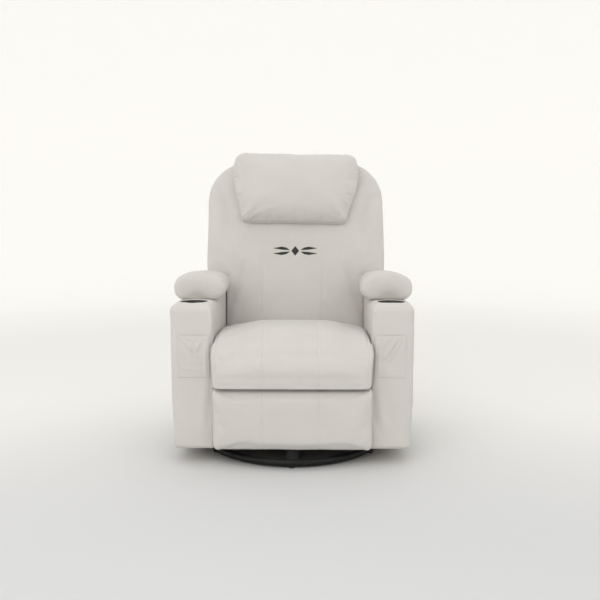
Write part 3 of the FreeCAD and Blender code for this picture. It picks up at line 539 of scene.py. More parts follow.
@dataclass
class Wardrobe:
    """Every finish, made once and handed out by slot."""

    upholstery: Upholstery = field(default_factory=Upholstery)
    stitch: Thread = field(default_factory=lambda: Thread("sewing_thread", (0.80, 0.785, 0.755)))
    quiet_stitch: Thread = field(default_factory=lambda: Thread("matching_thread", (0.62, 0.60, 0.565)))
    ornament: Thread = field(
        default_factory=lambda: Thread("embroidery_thread", (0.020, 0.020, 0.022), 0.0016, 0.0004)
    )
    made: dict[str, bpy.types.Material] = field(default_factory=dict)

    def by_slot(self) -> dict[Slot, Any]:
        """The finish of each material slot of the record.

        Returns:
            A finish for every slot.
        """
        return {
            Slot.UPHOLSTERY: self.upholstery,
            Slot.BLACK_STEEL: Enamel(),
            Slot.PLATED_STEEL: Plated(),
            Slot.SPRING_WIRE: Plated("spring_wire", (0.22, 0.22, 0.21), 0.42),
            Slot.PLYWOOD: Plywood(),
            Slot.DECK_CLOTH: Strapping("deck_cloth", (0.035, 0.035, 0.035), 0.0016),
            Slot.WEBBING: Strapping("seat_webbing", (0.06, 0.06, 0.063)),
            Slot.NYLON: Moulded("black_nylon", (0.03, 0.03, 0.03), 0.42),
            Slot.RUBBER: Moulded("black_rubber", (0.022, 0.022, 0.022), 0.72, 0.0001),
            Slot.BLACK_PLASTIC: Moulded("gloss_black_plastic", (0.012, 0.012, 0.012), 0.24, 0.00001),
            Slot.DARK_PLASTIC: Moulded("grained_black_plastic", (0.028, 0.028, 0.028), 0.46),
        }

    def material(self, finish: Any) -> bpy.types.Material:
        """The material of a finish, built on first use.

        Args:
            finish: one of the finishes above.

        Returns:
            The finished material.
        """
        if finish.name not in self.made:
            self.made[finish.name] = finish.build()
        return self.made[finish.name]

    def dress(self, piece: bpy.types.Object, finish: Any) -> None:
        """Gives a piece one finish all over.

        Args:
            piece: a mesh object.
            finish: one of the finishes above.
        """
        piece.data.materials.clear()
        piece.data.materials.append(self.material(finish))

    def dress_frame(self) -> None:
        """Gives every carried-over CAD node the finish of its slot."""
        finishes = self.by_slot()
        slots = {part["node"]: part["material_slot"] for part in frame["record"]["subparts"]}
        for name, node in frame["nodes"].items():
            node.data.materials.clear()
            node.data.materials.append(self.material(finishes[Slot(slots[name])]))


WARDROBE = Wardrobe()


# ---------------------------------------------------------------- making and shaping meshes


def scale_between(points: np.ndarray, low: float, high: float) -> np.ndarray:
    """0 at low and 1 at high, smooth between, for an array."""
    share = np.clip((points - low) / (high - low), 0.0, 1.0)
    return share * share * (3.0 - 2.0 * share)


def held_space(node: str) -> tuple[Vector, Vector]:
    """The lowest and highest corner of a CAD node."""
    low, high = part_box(node)
    return Vector(low), Vector(high)


def cut_loops(bm: bmesh.types.BMesh, axis: int, places: Iterable[float], snap: float) -> None:
    """Cuts new edge loops where planes across an axis meet a mesh.

    Args:
        bm: the mesh.
        axis: 0, 1 or 2 for x, y or z.
        places: where the planes stand on the axis.
        snap: how near a point must be to count as on a plane.
    """
    normal = Vector((axis == 0, axis == 1, axis == 2))
    for place in places:
        geom = [*bm.verts, *bm.edges, *bm.faces]
        spot = normal * place
        bmesh.ops.bisect_plane(bm, geom=geom, dist=snap, plane_co=spot, plane_no=normal)


class Form:
    """A bmesh in the making, with the operators that shape it."""

    def __init__(self) -> None:
        """Starts empty."""
        self.bm = bmesh.new()

    @classmethod
    def block(cls, low: Sequence[float], high: Sequence[float]) -> "Form":
        """A box from its lowest to its highest corner.

        Args:
            low: the lowest corner.
            high: the highest.

        Returns:
            The box.
        """
        form = cls()
        low, high = Vector(low), Vector(high)
        size = high - low
        matrix = Matrix.Translation((low + high) / 2) @ Matrix.Diagonal((*size, 1.0))
        bmesh.ops.create_cube(form.bm, size=1.0, matrix=matrix)
        return form

    @classmethod
    def prism(cls, outline: Sequence[Vector], along: Vector) -> "Form":
        """A closed outline pushed along a vector.

        Args:
            outline: its corners in order.
            along: how far and which way.

        Returns:
            The closed form.
        """
        form = cls()
        face = form.bm.faces.new([form.bm.verts.new(point) for point in outline])
        made = bmesh.ops.extrude_face_region(form.bm, geom=[face])
        moved = [item for item in made["geom"] if isinstance(item, bmesh.types.BMVert)]
        bmesh.ops.translate(form.bm, verts=moved, vec=along)
        bmesh.ops.recalc_face_normals(form.bm, faces=form.bm.faces)
        return form

    @classmethod
    def turned(cls, profile: Sequence[Span], centre: Vector, steps: int) -> "Form":
        """A profile spun round an upright axis.

        Args:
            profile: radius and height of each point, in order.
            centre: a point on the axis.
            steps: how many facets go round.

        Returns:
            The closed form.
        """
        form = cls()
        points = [form.bm.verts.new((centre.x + radius, centre.y, z)) for radius, z in profile]
        lines = form.joined(points)
        bmesh.ops.spin(
            form.bm,
            geom=points + lines,
            cent=(centre.x, centre.y, 0),
            axis=(0, 0, 1),
            angle=math.tau,
            steps=steps,
            use_merge=True,
        )
        bmesh.ops.remove_doubles(form.bm, verts=form.bm.verts, dist=1e-6)
        bmesh.ops.recalc_face_normals(form.bm, faces=form.bm.faces)
        return form

    def joined(self, points: Sequence[bmesh.types.BMVert]) -> list[bmesh.types.BMEdge]:
        """Edges from each point to the next."""
        return [self.bm.edges.new(two) for two in zip(points, points[1:])]

    def edges(self, keep: Callable[[Vector, Vector], bool]) -> list[bmesh.types.BMEdge]:
        """The edges whose two end points pass a test."""
        return [edge for edge in self.bm.edges if keep(edge.verts[0].co, edge.verts[1].co)]

    def round(self, edges: list[bmesh.types.BMEdge], radius: float, segments: int = 5) -> "Form":
        """Rounds edges over.

        Args:
            edges: what to round.
            radius: how far the rounding reaches from the edge.
            segments: how many facets it gets.

        Returns:
            The form itself.
        """
        bmesh.ops.bevel(
            self.bm,
            geom=edges,
            offset=radius,
            offset_type="OFFSET",
            segments=segments,
            profile=0.5,
            affect="EDGES",
            clamp_overlap=True,
            material=-1,
        )
        return self

    def slice(self, axis: int, places: Iterable[float]) -> "Form":
        """Cuts new edge loops where planes across an axis meet the form."""
        cut_loops(self.bm, axis, places, 1e-6)
        return self

    def rows(self, axis: int, span: Span, step: float) -> "Form":
        """Cuts evenly spaced loops between two places along an axis."""
        count = max(int((span[1] - span[0]) / step), 1)
        return self.slice(axis, [span[0] + (span[1] - span[0]) * i / count for i in range(1, count)])

    def piece(self, name: str) -> bpy.types.Object:
        """Turns the form into a smooth-shaded object at the origin.

        Args:
            name: the piece's name.

        Returns:
            The object.
        """
        bmesh.ops.triangulate(self.bm, faces=[face for face in self.bm.faces if len(face.verts) > 4])
        mesh = bpy.data.meshes.new(name)
        self.bm.to_mesh(mesh)
        self.bm.free()
        mesh.shade_smooth()
        made = bpy.data.objects.new(name, mesh)
        bpy.context.scene.collection.objects.link(made)
        return made


def bake(piece: bpy.types.Object) -> None:
    """Makes a piece's modifiers part of its mesh.

    Args:
        piece: the mesh object.
    """
    graph = bpy.context.evaluated_depsgraph_get()
    graph.update()
    mesh = bpy.data.meshes.new_from_object(piece.evaluated_get(graph))
    piece.modifiers.clear()
    piece.data = mesh
    mesh.name = piece.name
    mesh.shade_smooth()


def subdivide(piece: bpy.types.Object) -> None:
    """Gives a piece one applied subdivision.

    Args:
        piece: the mesh object.
    """
    finer = piece.modifiers.new("finer", "SUBSURF")
    finer.levels = finer.render_levels = 1
    bake(piece)


def remesh(piece: bpy.types.Object, voxel: float) -> None:
    """Rebuilds a piece's mesh from even squares of one size.

    Args:
        piece: the mesh object.
        voxel: the squares' size.
    """
    grid = piece.modifiers.new("grid", "REMESH")
    grid.mode = "VOXEL"
    grid.voxel_size = voxel
    bake(piece)


def thicken(piece: bpy.types.Object, thickness: float, offset: float = 0.0) -> None:
    """Gives a sheet its thickness, half on each side at offset 0, all behind it at -1.

    Args:
        piece: the sheet.
        thickness: how thick it gets.
        offset: where the sheet lies in it.
    """
    wall = piece.modifiers.new("wall", "SOLIDIFY")
    wall.thickness = thickness
    wall.offset = offset
    bake(piece)


def relax(piece: bpy.types.Object, rounds: int) -> None:
    """Evens out a mesh's points.

    Args:
        piece: the mesh object.
        rounds: how often.
    """
    bm = bmesh.new()
    bm.from_mesh(piece.data)
    for _ in range(rounds):
        bmesh.ops.smooth_vert(
            bm, verts=bm.verts, factor=0.5, use_axis_x=True, use_axis_y=True, use_axis_z=True
        )
    bm.to_mesh(piece.data)
    bm.free()


def transform(piece: bpy.types.Object, matrix: Matrix) -> None:
    """Moves a piece's points, leaving its object at the origin."""
    piece.data.transform(matrix)
    piece.data.update()


def fit(piece: bpy.types.Object, low: Sequence[float], high: Sequence[float]) -> None:
    """Stretches a piece so that it just fills a box.

    Args:
        piece: a mesh object.
        low: the box's lowest corner.
        high: its highest corner.
    """
    skin = Skin(piece)
    least, most = skin.points.min(axis=0), skin.points.max(axis=0)
    room = np.array(high) - np.array(low)
    skin.points = np.array(low) + (skin.points - least) * room / (most - least)
    skin.write()


def depth_inside(spots: np.ndarray, outline: Sequence[Vector]) -> np.ndarray:
    """How far points in the x-z plane lie from an outline.

    Args:
        spots: x and z of every point, two numbers a row.
        outline: the outline's corners.

    Returns:
        The distance from each point to the nearest side.
    """
    nearest = np.full(len(spots), np.inf)
    for a, b in zip(outline, [*outline[1:], outline[0]]):
        start, run = np.array((a.x, a.z)), np.array((b.x - a.x, b.z - a.z))
        share = np.clip(((spots - start) @ run) / max(run @ run, 1e-12), 0.0, 1.0)
        gap = np.linalg.norm(spots - (start + share[:, None] * run), axis=1)
        nearest = np.minimum(nearest, gap)
    return nearest


def rounding(share: np.ndarray) -> np.ndarray:
    """A quarter circle's rise: 0 at 0, 1 from 1 on."""
    kept = np.clip(share, 0.0, 1.0)
    return np.sqrt(1.0 - (1.0 - kept) ** 2)


class Skin:
    """A piece's points and normals as arrays, for shaping."""

    def __init__(self, piece: bpy.types.Object) -> None:
        """Reads the points.

        Args:
            piece: a mesh object.
        """
        self.piece = piece
        self.points = self._read("co")
        self.normals = self._read("normal")
        # Painted shade for seams and creases, written out as the seam attribute that darkens the cloth.
        self.seam = np.zeros(len(self.points))

    def _read(self, name: str) -> np.ndarray:
        """One property of every vertex, three numbers a row.

        Args:
            name: the property's name.

        Returns:
            The array.
        """
        flat = np.empty(len(self.piece.data.vertices) * 3)
        self.piece.data.vertices.foreach_get(name, flat)
        return flat.reshape(-1, 3)

    @property
    def x(self) -> np.ndarray:
        """Every point's x."""
        return self.points[:, 0]

    @property
    def y(self) -> np.ndarray:
        """Every point's y."""
        return self.points[:, 1]

    @property
    def z(self) -> np.ndarray:
        """Every point's z."""
        return self.points[:, 2]

    def push(self, amount: np.ndarray) -> None:
        """Moves every point along its normal."""
        self.points += self.normals * amount[:, None]

    def square(self, half: float, start: float = 0.75, power: float = 1.6) -> None:
        """Draws rounded side edges tighter, keeping the sides where they are.

        Args:
            half: how far the sides stand from the middle.
            start: the share of that where the change begins.
            power: how much tighter the edges become.
        """
        out = np.abs(self.x) / half
        late = np.clip((out - start) / (1.0 - start), 0.0, 1.0)
        drawn = start + (1.0 - start) * (1.0 - (1.0 - late) ** power)
        moved = np.where((out > start) & (out < 1.0), drawn, out)
        self.points[:, 0] = np.sign(self.x) * moved * half

    def ripple(
        self, amount: float, scale: float, seed: float, where: np.ndarray | float = 1.0
    ) -> None:
        """Adds soft unevenness.

        Args:
            amount: how far points move at most.
            scale: the size of a lump.
            seed: picks the pattern.
            where: a share for each point.
        """
        shift = Vector((seed * 3.1, seed * 7.7, seed * 1.3))
        lumps = np.array([noise.noise(Vector(point) / scale + shift) for point in self.points])
        self.push(lumps * amount * where)

    def lip(self, rise: np.ndarray, reach: float, amount: np.ndarray) -> None:
        """Draws the front forward toward an edge.

        Args:
            rise: how far each point stands from the edge.
            reach: how far from the edge the change begins.
            amount: how far the edge comes forward, for each point.
        """
        self.points[:, 1] -= amount * (1.0 - np.clip(rise / reach, 0.0, 1.0)) ** 2

    def write(self) -> None:
        """Puts the points back and stores the seam shading."""
        mesh = self.piece.data
        mesh.vertices.foreach_set("co", self.points.ravel())
        mark = mesh.attributes.get("seam") or mesh.attributes.new("seam", "FLOAT", "POINT")
        mark.data.foreach_set("value", np.clip(self.seam, 0.0, 1.0).astype(np.float32))
        mesh.update()


@dataclass(frozen=True)
class Fold:
    """A soft crease or ridge along a straight line over a surface."""

    start: tuple[float, float, float]
    end: tuple[float, float, float]
    width: float
    depth: float

    def press(self, skin: Skin) -> None:
        """Raises the surface along the line, or sinks it where depth is negative and paints shade into the crease.

        Args:
            skin: the surface.
        """
        start, end = np.array(self.start), np.array(self.end)
        run = end - start
        share = np.clip(((skin.points - start) @ run) / (run @ run), 0.0, 1.0)
        gap = np.linalg.norm(skin.points - (start + share[:, None] * run), axis=1)
        taper = np.sin(np.pi * np.clip(0.08 + 0.84 * share, 0.0, 1.0)) ** 0.7
        shape = np.exp(-((gap / self.width) ** 2)) * taper
        side = np.exp(-(((gap - 1.9 * self.width) / self.width) ** 2)) * taper
        skin.push(self.depth * (shape - 0.35 * side))
        # Painted shade: a sunken crease darkens the cloth along its line.
        if self.depth < 0:
            skin.seam += 0.22 * shape * min(-self.depth / 0.003, 1.0)


@dataclass(frozen=True)
class Seam:
    """A sewn line where a plane across one axis meets a surface, with puckers beside it."""

    axis: int
    place: float
    depth: float = 0.0009
    width: float = 0.0034
    pucker: float = 0.0007
    seed: float = 1.0

    def loops(self, steps: Sequence[float] = (-2.0, -1.0, -0.4, 0.0, 0.4, 1.0, 2.0)) -> list[float]:
        """Where the edge loops beside the line lie, for steps in widths."""
        return [self.place + step * self.width for step in steps]

    def cut(self, piece: bpy.types.Object) -> None:
        """Cuts the edge loops that the seam needs into a mesh.

        Args:
            piece: the mesh object.
        """
        bm = bmesh.new()
        bm.from_mesh(piece.data)
        cut_loops(bm, self.axis, self.loops((-2.4, -1.2, -0.5, 0.0, 0.5, 1.2, 2.4)), 1e-5)
        bm.to_mesh(piece.data)
        bm.free()
        piece.data.shade_smooth()

    def press(self, skin: Skin, where: np.ndarray) -> None:
        """Sinks the line, puckers the cloth beside it and paints shade along it.

        Args:
            skin: the surface.
            where: a share for each point, 0 where the seam doesn't run.
        """
        gap = np.abs(skin.points[:, self.axis] - self.place)
        line = np.exp(-((gap / self.width) ** 2))
        lips = np.exp(-(((gap - 2.4 * self.width) / (1.4 * self.width)) ** 2))
        skin.push(where * self.depth * (0.30 * lips - line))
        reach = np.exp(-gap / 0.016) * (1.0 - line)
        shift = Vector((self.seed, 0, 0))
        run = [noise.noise(Vector(point) * 55.0 + shift) for point in skin.points]
        skin.push(where * reach * self.pucker * np.array(run))
        # Painted shade along the sunken seam line.
        skin.seam += 0.22 * where * np.exp(-((gap / (0.4 * self.width)) ** 2))


@dataclass(frozen=True)
class Stuffing:
    """How a padded piece is blown up from its plain form."""

    voxel: float = 0.007
    pressure: float = 4.0
    cap: float = 0.010
    frames: int = 20
    smoothing: int = 4

    def fill(self, piece: bpy.types.Object, held: Callable[[Skin], np.ndarray]) -> None:
        """Remeshes a form and swells it like a filled bag.

        Args:
            piece: the plain form, a little smaller than the finished piece.
            held: picks the points that stay where they are, as true and false.
        """
        remesh(piece, self.voxel)
        relax(piece, self.smoothing)
        self.simulate(piece, held)
        relax(piece, 2)

    def simulate(self, piece: bpy.types.Object, held: Callable[[Skin], np.ndarray]) -> None:
        """Runs the cloth and keeps what it gives, no point moving further than the cap.

        Args:
            piece: the remeshed form.
            held: picks the points that stay where they are.
        """
        skin = Skin(piece)
        group = piece.vertex_groups.new(name="held")
        group.add(np.flatnonzero(held(skin)).tolist(), 1.0, "REPLACE")
        cloth = piece.modifiers.new("cloth", "CLOTH")
        cover = {
            "quality": 5,
            "mass": 0.25,
            "tension_stiffness": 20.0,
            "compression_stiffness": 12.0,
            "shear_stiffness": 8.0,
            "bending_stiffness": 0.4,
            "use_pressure": True,
            "uniform_pressure_force": self.pressure,
            "vertex_group_mass": "held",
        }
        for name, value in cover.items():
            setattr(cloth.settings, name, value)
        cloth.settings.effector_weights.gravity = 0.0
        cloth.collision_settings.use_collision = False
        scene = bpy.context.scene
        for step in range(1, self.frames + 1):
            scene.frame_set(step)
        graph = bpy.context.evaluated_depsgraph_get()
        swollen = np.empty(len(piece.data.vertices) * 3)
        piece.evaluated_get(graph).data.vertices.foreach_get("co", swollen)
        move = swollen.reshape(-1, 3) - skin.points
        length = np.linalg.norm(move, axis=1, keepdims=True)
        move *= np.minimum(1.0, self.cap / np.maximum(length, 1e-9))
        piece.modifiers.clear()
        piece.vertex_groups.clear()
        scene.frame_set(1)
        skin.points += move
        skin.write()


@dataclass(frozen=True)
class Stitching:
    """A row of lockstitches lying on a surface."""

    pitch: float = 0.0056
    length: float = 0.0038
    thickness: float = 0.00075

    def sew(self, form: Form, ground: BVHTree, path: Sequence[Vector]) -> None:
        """Adds stitches along a path, each laid on the nearest surface.

        Args:
            form: what the stitches are added to.
            ground: the surface that they lie on.
            path: points along the row.
        """
        for start, end in zip(path, path[1:]):
            count = max(int((end - start).length / self.pitch), 1)
            for index in range(count):
                spot = ground.find_nearest(start.lerp(end, (index + 0.25) / count))
                tip = ground.find_nearest(start.lerp(end, (index + 0.75) / count))
                if spot[0] is not None and tip[0] is not None:
                    self.stitch(form, spot[0], tip[0], spot[1])

    def rows(
        self, name: str, ground: BVHTree, paths: Iterable[Sequence[Vector]]
    ) -> bpy.types.Object:
        """Makes one piece with a row of stitches along each path.

        Args:
            name: the piece's name.
            ground: the surface that the rows lie on.
            paths: the points along each row.

        Returns:
            The stitches.
        """
        form = Form()
        for path in paths:
            self.sew(form, ground, path)
        return form.piece(name)

    def stitch(self, form: Form, start: Vector, end: Vector, normal: Vector) -> None:
        """Adds one stitch between two points of a surface.

        Args:
            form: what the stitch is added to.
            start: its first point.
            end: its last point.
            normal: the surface's normal there.
        """
        run = end - start
        if run.length < 1e-5:
            return
        along = run.normalized()
        across = normal.cross(along).normalized()
        up = along.cross(across)
        turn = Matrix((along, across, up)).transposed().to_4x4()
        size = Matrix.Diagonal((self.length / 2, self.thickness, self.thickness * 0.7, 1.0))
        middle = (start + end) / 2 + up * self.thickness * 0.25
        bmesh.ops.create_icosphere(
            form.bm, subdivisions=1, radius=1.0, matrix=Matrix.Translation(middle) @ turn @ size
        )


def surface_of(*pieces: bpy.types.Object) -> BVHTree:
    """A tree of the pieces' faces for finding nearby points.

    Args:
        pieces: the mesh objects.

    Returns:
        The tree.
    """
    bm = bmesh.new()
    for piece in pieces:
        bm.from_mesh(piece.data)
    tree = BVHTree.FromBMesh(bm)
    bm.free()
    return tree


def settle(
    piece: bpy.types.Object,
    body: Body,
    finish: Any,
    *replaced: str,
    slot: Slot = Slot.UPHOLSTERY,
) -> None:
    """Dresses a finished piece and joins it to the chair.

    Args:
        piece: the piece.
        body: what it rides on.
        finish: what it is made of.
        replaced: the CAD nodes that it stands for.
        slot: the record's slot that its finish belongs to; not used.
    """
    WARDROBE.dress(piece, finish)
    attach(piece, body.value)
    if replaced:
        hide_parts(*replaced)
    LOG.info("%s: %d faces", piece.name, len(piece.data.polygons))


def joint_place(name: str) -> Vector:
    """Where a hinge of the record lies."""
    places = {joint["name"]: joint["pos_m"] for joint in frame["joints"]}
    return Vector(places[name])


# ---------------------------------------------------------------- seat and footrest


@dataclass
class SeatCushion:
    """The stuffed seat: crowned on top, a waterfall front and two sewn channels."""

    inset: float = 0.005
    crown_drop: float = 0.011
    edge_drop: float = 0.006
    shoulder_drop: float = 0.0085
    corner: float = 0.016
    proud: float = 0.0030
    lip: float = 0.010
    belly: Span = (0.020, 0.029)
    channels: Span = (-0.095, 0.084)
    side_seam: float = 0.2475
    lifted: float = 0.765
    stuffing: Stuffing = field(default_factory=lambda: Stuffing(voxel=0.0068, cap=0.010))

    def __post_init__(self) -> None:
        """Takes the space that the CAD solid holds."""
        self.low, self.high = held_space("seat_cushion")

    def outline(self) -> list[Vector]:
        """The side view, from the lip under the front round to the rear.

        Returns:
            The corners in order.
        """
        front, rear, top, foot = self.low.y, self.high.y, self.high.z, self.low.z
        side = [
            (front + 0.014, foot),
            (front + 0.082, foot),
            (front + 0.090, foot + 0.045),
            (rear - 0.022, foot + 0.045),
            (rear - 0.008, top - 0.088),
            (rear - 0.012, top - 0.062),
            (rear - 0.045, top - 0.042),
            (rear - 0.105, top - 0.028),
            (rear - 0.180, top - 0.013),
            (rear - 0.255, top - 0.003),
            (front + 0.165, top),
            (front + 0.105, top - 0.003),
            (front + 0.066, top - 0.011),
            (front + 0.038, top - 0.025),
            (front + 0.018, top - 0.047),
            (front + 0.007, top - 0.076),
            (front + 0.003, top - 0.110),
            (front + 0.003, foot + 0.020),
            (front + 0.006, foot + 0.006),
        ]
        return [Vector((self.low.x + self.inset, y, z)) for y, z in side]

    def build(self) -> bpy.types.Object:
        """Makes the cushion and its stitches.

        Returns:
            The cushion.
        """
        width = self.high.x - self.low.x - 2 * self.inset
        form = Form.prism(self.outline(), Vector((width, 0, 0)))
        ends = form.edges(lambda a, b: abs(a.x - b.x) < 1e-6)
        form.round(ends, self.corner, 4)
        piece = form.piece("seat_cushion_cover")
        self.stuffing.fill(piece, lambda skin: skin.z < self.low.z + 0.048)
        low = (self.low.x - self.proud, self.low.y - 0.003, self.low.z + 0.0005)
        high = (self.high.x + self.proud, self.high.y, self.high.z + 0.002)
        fit(piece, low, high)
        subdivide(piece)
        skin = Skin(piece)
        skin.square(self.high.x + self.proud)
        skin.write()
        for place in (*self.channels, -self.side_seam, self.side_seam):
            Seam(0, place).cut(piece)
        self.shape(piece)
        settle(piece, Body.SEAT, WARDROBE.upholstery, "seat_cushion")
        stitches = self.sew(piece)
        for soft in (piece, stitches):
            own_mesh(soft)
        return piece

    def shape(self, piece: bpy.types.Object) -> None:
        """Crowns the top, eases the front and presses the seams and puckers.

        Args:
            piece: the swollen cushion.
        """
        skin = Skin(piece)
        self.round_top(skin)
        self.fill_front(skin)
        shown = scale_between(-skin.normals[:, 1] + skin.normals[:, 2], 0.15, 0.6)
        run_out = scale_between(-skin.y, -self.high.y + 0.05, -self.high.y + 0.16)
        for index, place in enumerate(self.channels):
            Seam(0, place, seed=index + 4.0).press(skin, shown * run_out)
        for side in SIDES:
            edge = Seam(0, side * self.side_seam, depth=0.0016, pucker=0.0014, seed=11.0 + side)
            edge.press(skin, run_out * scale_between(skin.z, self.low.z, self.low.z + 0.05))
            self.corner_tucks(skin, side)
        skin.ripple(0.0018, 0.085, 3.0, shown)
        skin.ripple(0.0007, 0.030, 8.0, shown)
        skin.write()

    def round_top(self, skin: Skin) -> None:
        """Lets the top fall away from its middle to its sides.

        Args:
            skin: the surface.
        """
        half = self.high.x + self.proud
        base = self.low.z + 0.040
        height = np.clip(skin.z - base, 0.0, None)
        out = np.clip(np.abs(skin.x) / half, 0.0, 1.0)
        drop = self.crown_drop * out**2.4
        drop += self.edge_drop * (1.0 - rounding((1.0 - out) / 0.05))
        drop += self.shoulder_drop * np.exp(-(((out - 0.72) / 0.15) ** 2))
        skin.points[:, 2] -= height / (self.high.z - base) * drop

    def fill_front(self, skin: Skin) -> None:
        """Bulges the front's sides ahead of the arms and brings its lip forward.

        Args:
            skin: the surface.
        """
        half, front = self.high.x + self.proud, -self.low.y
        forward = scale_between(-skin.y, front - 0.10, front)
        skin.points[:, 1] += forward * 0.005 * (skin.x / half) ** 6
        free = scale_between(-skin.y, front - 0.066, front - 0.050)
        belly = np.exp(-(((skin.z - self.high.z + 0.066) / 0.046) ** 2))
        belly *= scale_between(self.high.z - skin.z, 0.016, 0.056)
        right, left = self.belly
        skin.points[:, 0] *= 1.0 + np.where(skin.x > 0, left, right) * free * belly
        ahead = scale_between(-skin.y, front - 0.035, front - 0.012)
        skin.lip(skin.z - self.low.z, 0.015, self.lip * ahead)

    def corner_tucks(self, skin: Skin, side: int) -> None:
        """Small gathers where the front, top and side panels meet.

        Args:
            skin: the surface.
            side: -1 for the right, 1 for the left.
        """
        x, y, z = side * (self.high.x - 0.001), self.low.y + 0.035, self.high.z - 0.085
        for index in range(3):
            drop = 0.017 * index
            start = (x, y + 0.02, z - drop)
            end = (x - side * 0.030, y - 0.022, z - drop - 0.006)
            Fold(start, end, 0.0036, -0.0026).press(skin)
        low = self.low.z + 0.012
        start = (x, self.low.y + 0.02, low + 0.01)
        end = (x - side * 0.05, self.low.y + 0.006, low + 0.004)
        Fold(start, end, 0.005, -0.002).press(skin)

    def sew(self, cushion: bpy.types.Object) -> bpy.types.Object:
        """Lays the stitches beside each channel.

        Args:
            cushion: what they lie on.

        Returns:
            The stitches.
        """
        side = self.outline()[7:]
        lines = [[Vector((x + STITCH_GAP, p.y, p.z)) for p in side] for x in self.channels]
        piece = Stitching().rows("seat_cushion_stitches", surface_of(cushion), lines)
        settle(piece, Body.SEAT, WARDROBE.stitch)
        return piece


@dataclass
class FootrestPad:
    """The padded front of the footrest."""

    seams: Span = (-0.095, 0.086)
    proud: float = 0.0042
    inset: float = 0.005
    forward: float = 0.007
    below: float = 0.009
    above: float = 0.0035
    lips: Span = (0.007, 0.009)
    corner_lift: float = 0.013
    spread: Span = (0.008, 0.020)
    stuffing: Stuffing = field(default_factory=lambda: Stuffing(voxel=0.0062, cap=0.008))

    def __post_init__(self) -> None:
        """Takes the space that the CAD solid holds."""
        self.low, self.high = held_space("footrest_pad")

    def outline(self) -> list[Vector]:
        """The side view of the pad, flat where it meets the board.

        Returns:
            The corners in order.
        """
        front, rear, top, foot = self.low.y, self.high.y, self.high.z, self.low.z
        side = [
            (rear, foot + 0.004),
            (rear, top - 0.001),
            (rear - 0.014, top),
            (front + 0.018, top),
            (front + 0.009, top - 0.004),
            (front + 0.004, top - 0.014),
            (front + 0.002, top - 0.060),
            (front + 0.002, (top + foot) / 2),
            (front + 0.002, foot + 0.060),
            (front + 0.003, foot + 0.016),
            (front + 0.010, foot + 0.003),
            (rear - 0.014, foot),
        ]
        return [Vector((self.low.x + self.inset, y, z)) for y, z in side]

    def build(self) -> None:
        """Makes the pad and its stitches."""
        width = self.high.x - self.low.x - 2 * self.inset
        form = Form.prism(self.outline(), Vector((width, 0, 0)))
        rear = self.high.y - 0.01
        ends = form.edges(lambda a, b: abs(a.x - b.x) < 1e-6 and min(a.y, b.y) < rear)
        form.round(ends, 0.010, 3)
        piece = form.piece("footrest_pad_cover")
        self.stuffing.fill(piece, lambda skin: skin.y > self.high.y - 0.010)
        low = (self.low.x - self.proud, self.low.y - self.forward, self.low.z - self.below)
        high = (self.high.x + self.proud, self.high.y, self.high.z + self.above)
        fit(piece, low, high)
        subdivide(piece)
        skin = Skin(piece)
        skin.square(self.high.x + self.proud, 0.80)
        skin.write()
        for place in self.seams:
            Seam(0, place).cut(piece)
        self.shape(piece)
        settle(piece, Body.FOOTREST, WARDROBE.upholstery, "footrest_pad")
        self.sew(piece)

    def shape(self, piece: bpy.types.Object) -> None:
        """Squares the front's lips, lifts its lower corners and presses the seams.

        Args:
            piece: the swollen pad.
        """
        skin = Skin(piece)
        shown = scale_between(-skin.normals[:, 1], 0.0, 0.5)
        for index, place in enumerate(self.seams):
            Seam(0, place, seed=index + 9.0).press(skin, shown)
        edge = (np.abs(skin.x) - self.high.x + 0.018).clip(0.0, None) / 0.022
        low = scale_between(-skin.z, -self.low.z - 0.04, -self.low.z)
        skin.points[:, 2] += self.corner_lift * edge**2 * low
        front = -self.low.y
        ahead = scale_between(-skin.y, front - 0.030, front - 0.012)
        foot_lip, top_lip = self.lips
        skin.lip(self.high.z + self.above - skin.z, 0.015, top_lip * ahead)
        skin.lip(skin.z - self.low.z + self.below, 0.020, foot_lip * ahead)
        free = scale_between(-skin.y, front - 0.046, front - 0.034)
        right, left = self.spread
        skin.points[:, 0] *= 1.0 + np.where(skin.x > 0, left, right) * free
        for side in SIDES:
            self.corner_tucks(skin, side)
        skin.ripple(0.0015, 0.075, 12.0, shown)
        skin.ripple(0.0006, 0.028, 15.0, shown)
        skin.points[:, 1] = np.minimum(skin.y, self.high.y)
        skin.write()

    def corner_tucks(self, skin: Skin, side: int) -> None:
        """Small gathers at the pad's upper corners.

        Args:
            skin: the surface.
            side: -1 for the right, 1 for the left.
        """
        for height, lean in ((self.high.z - 0.012, -0.012), (self.high.z - 0.030, -0.005)):
            x = side * (self.high.x - 0.008)
            start = (x, self.low.y + 0.020, height)
            end = (x - side * 0.028, self.low.y + 0.002, height + lean)
            Fold(start, end, 0.0040, -0.0012).press(skin)

    def sew(self, pad: bpy.types.Object) -> None:
        """Lays the stitches beside each channel.

        Args:
            pad: what they lie on.
        """
        side = self.outline()[2:]
        lines = [[Vector((x + STITCH_GAP, p.y, p.z)) for p in side] for x in self.seams]
        piece = Stitching().rows("footrest_pad_stitches", surface_of(pad), lines)
        settle(piece, Body.FOOTREST, WARDROBE.stitch)


# ---------------------------------------------------------------- arms


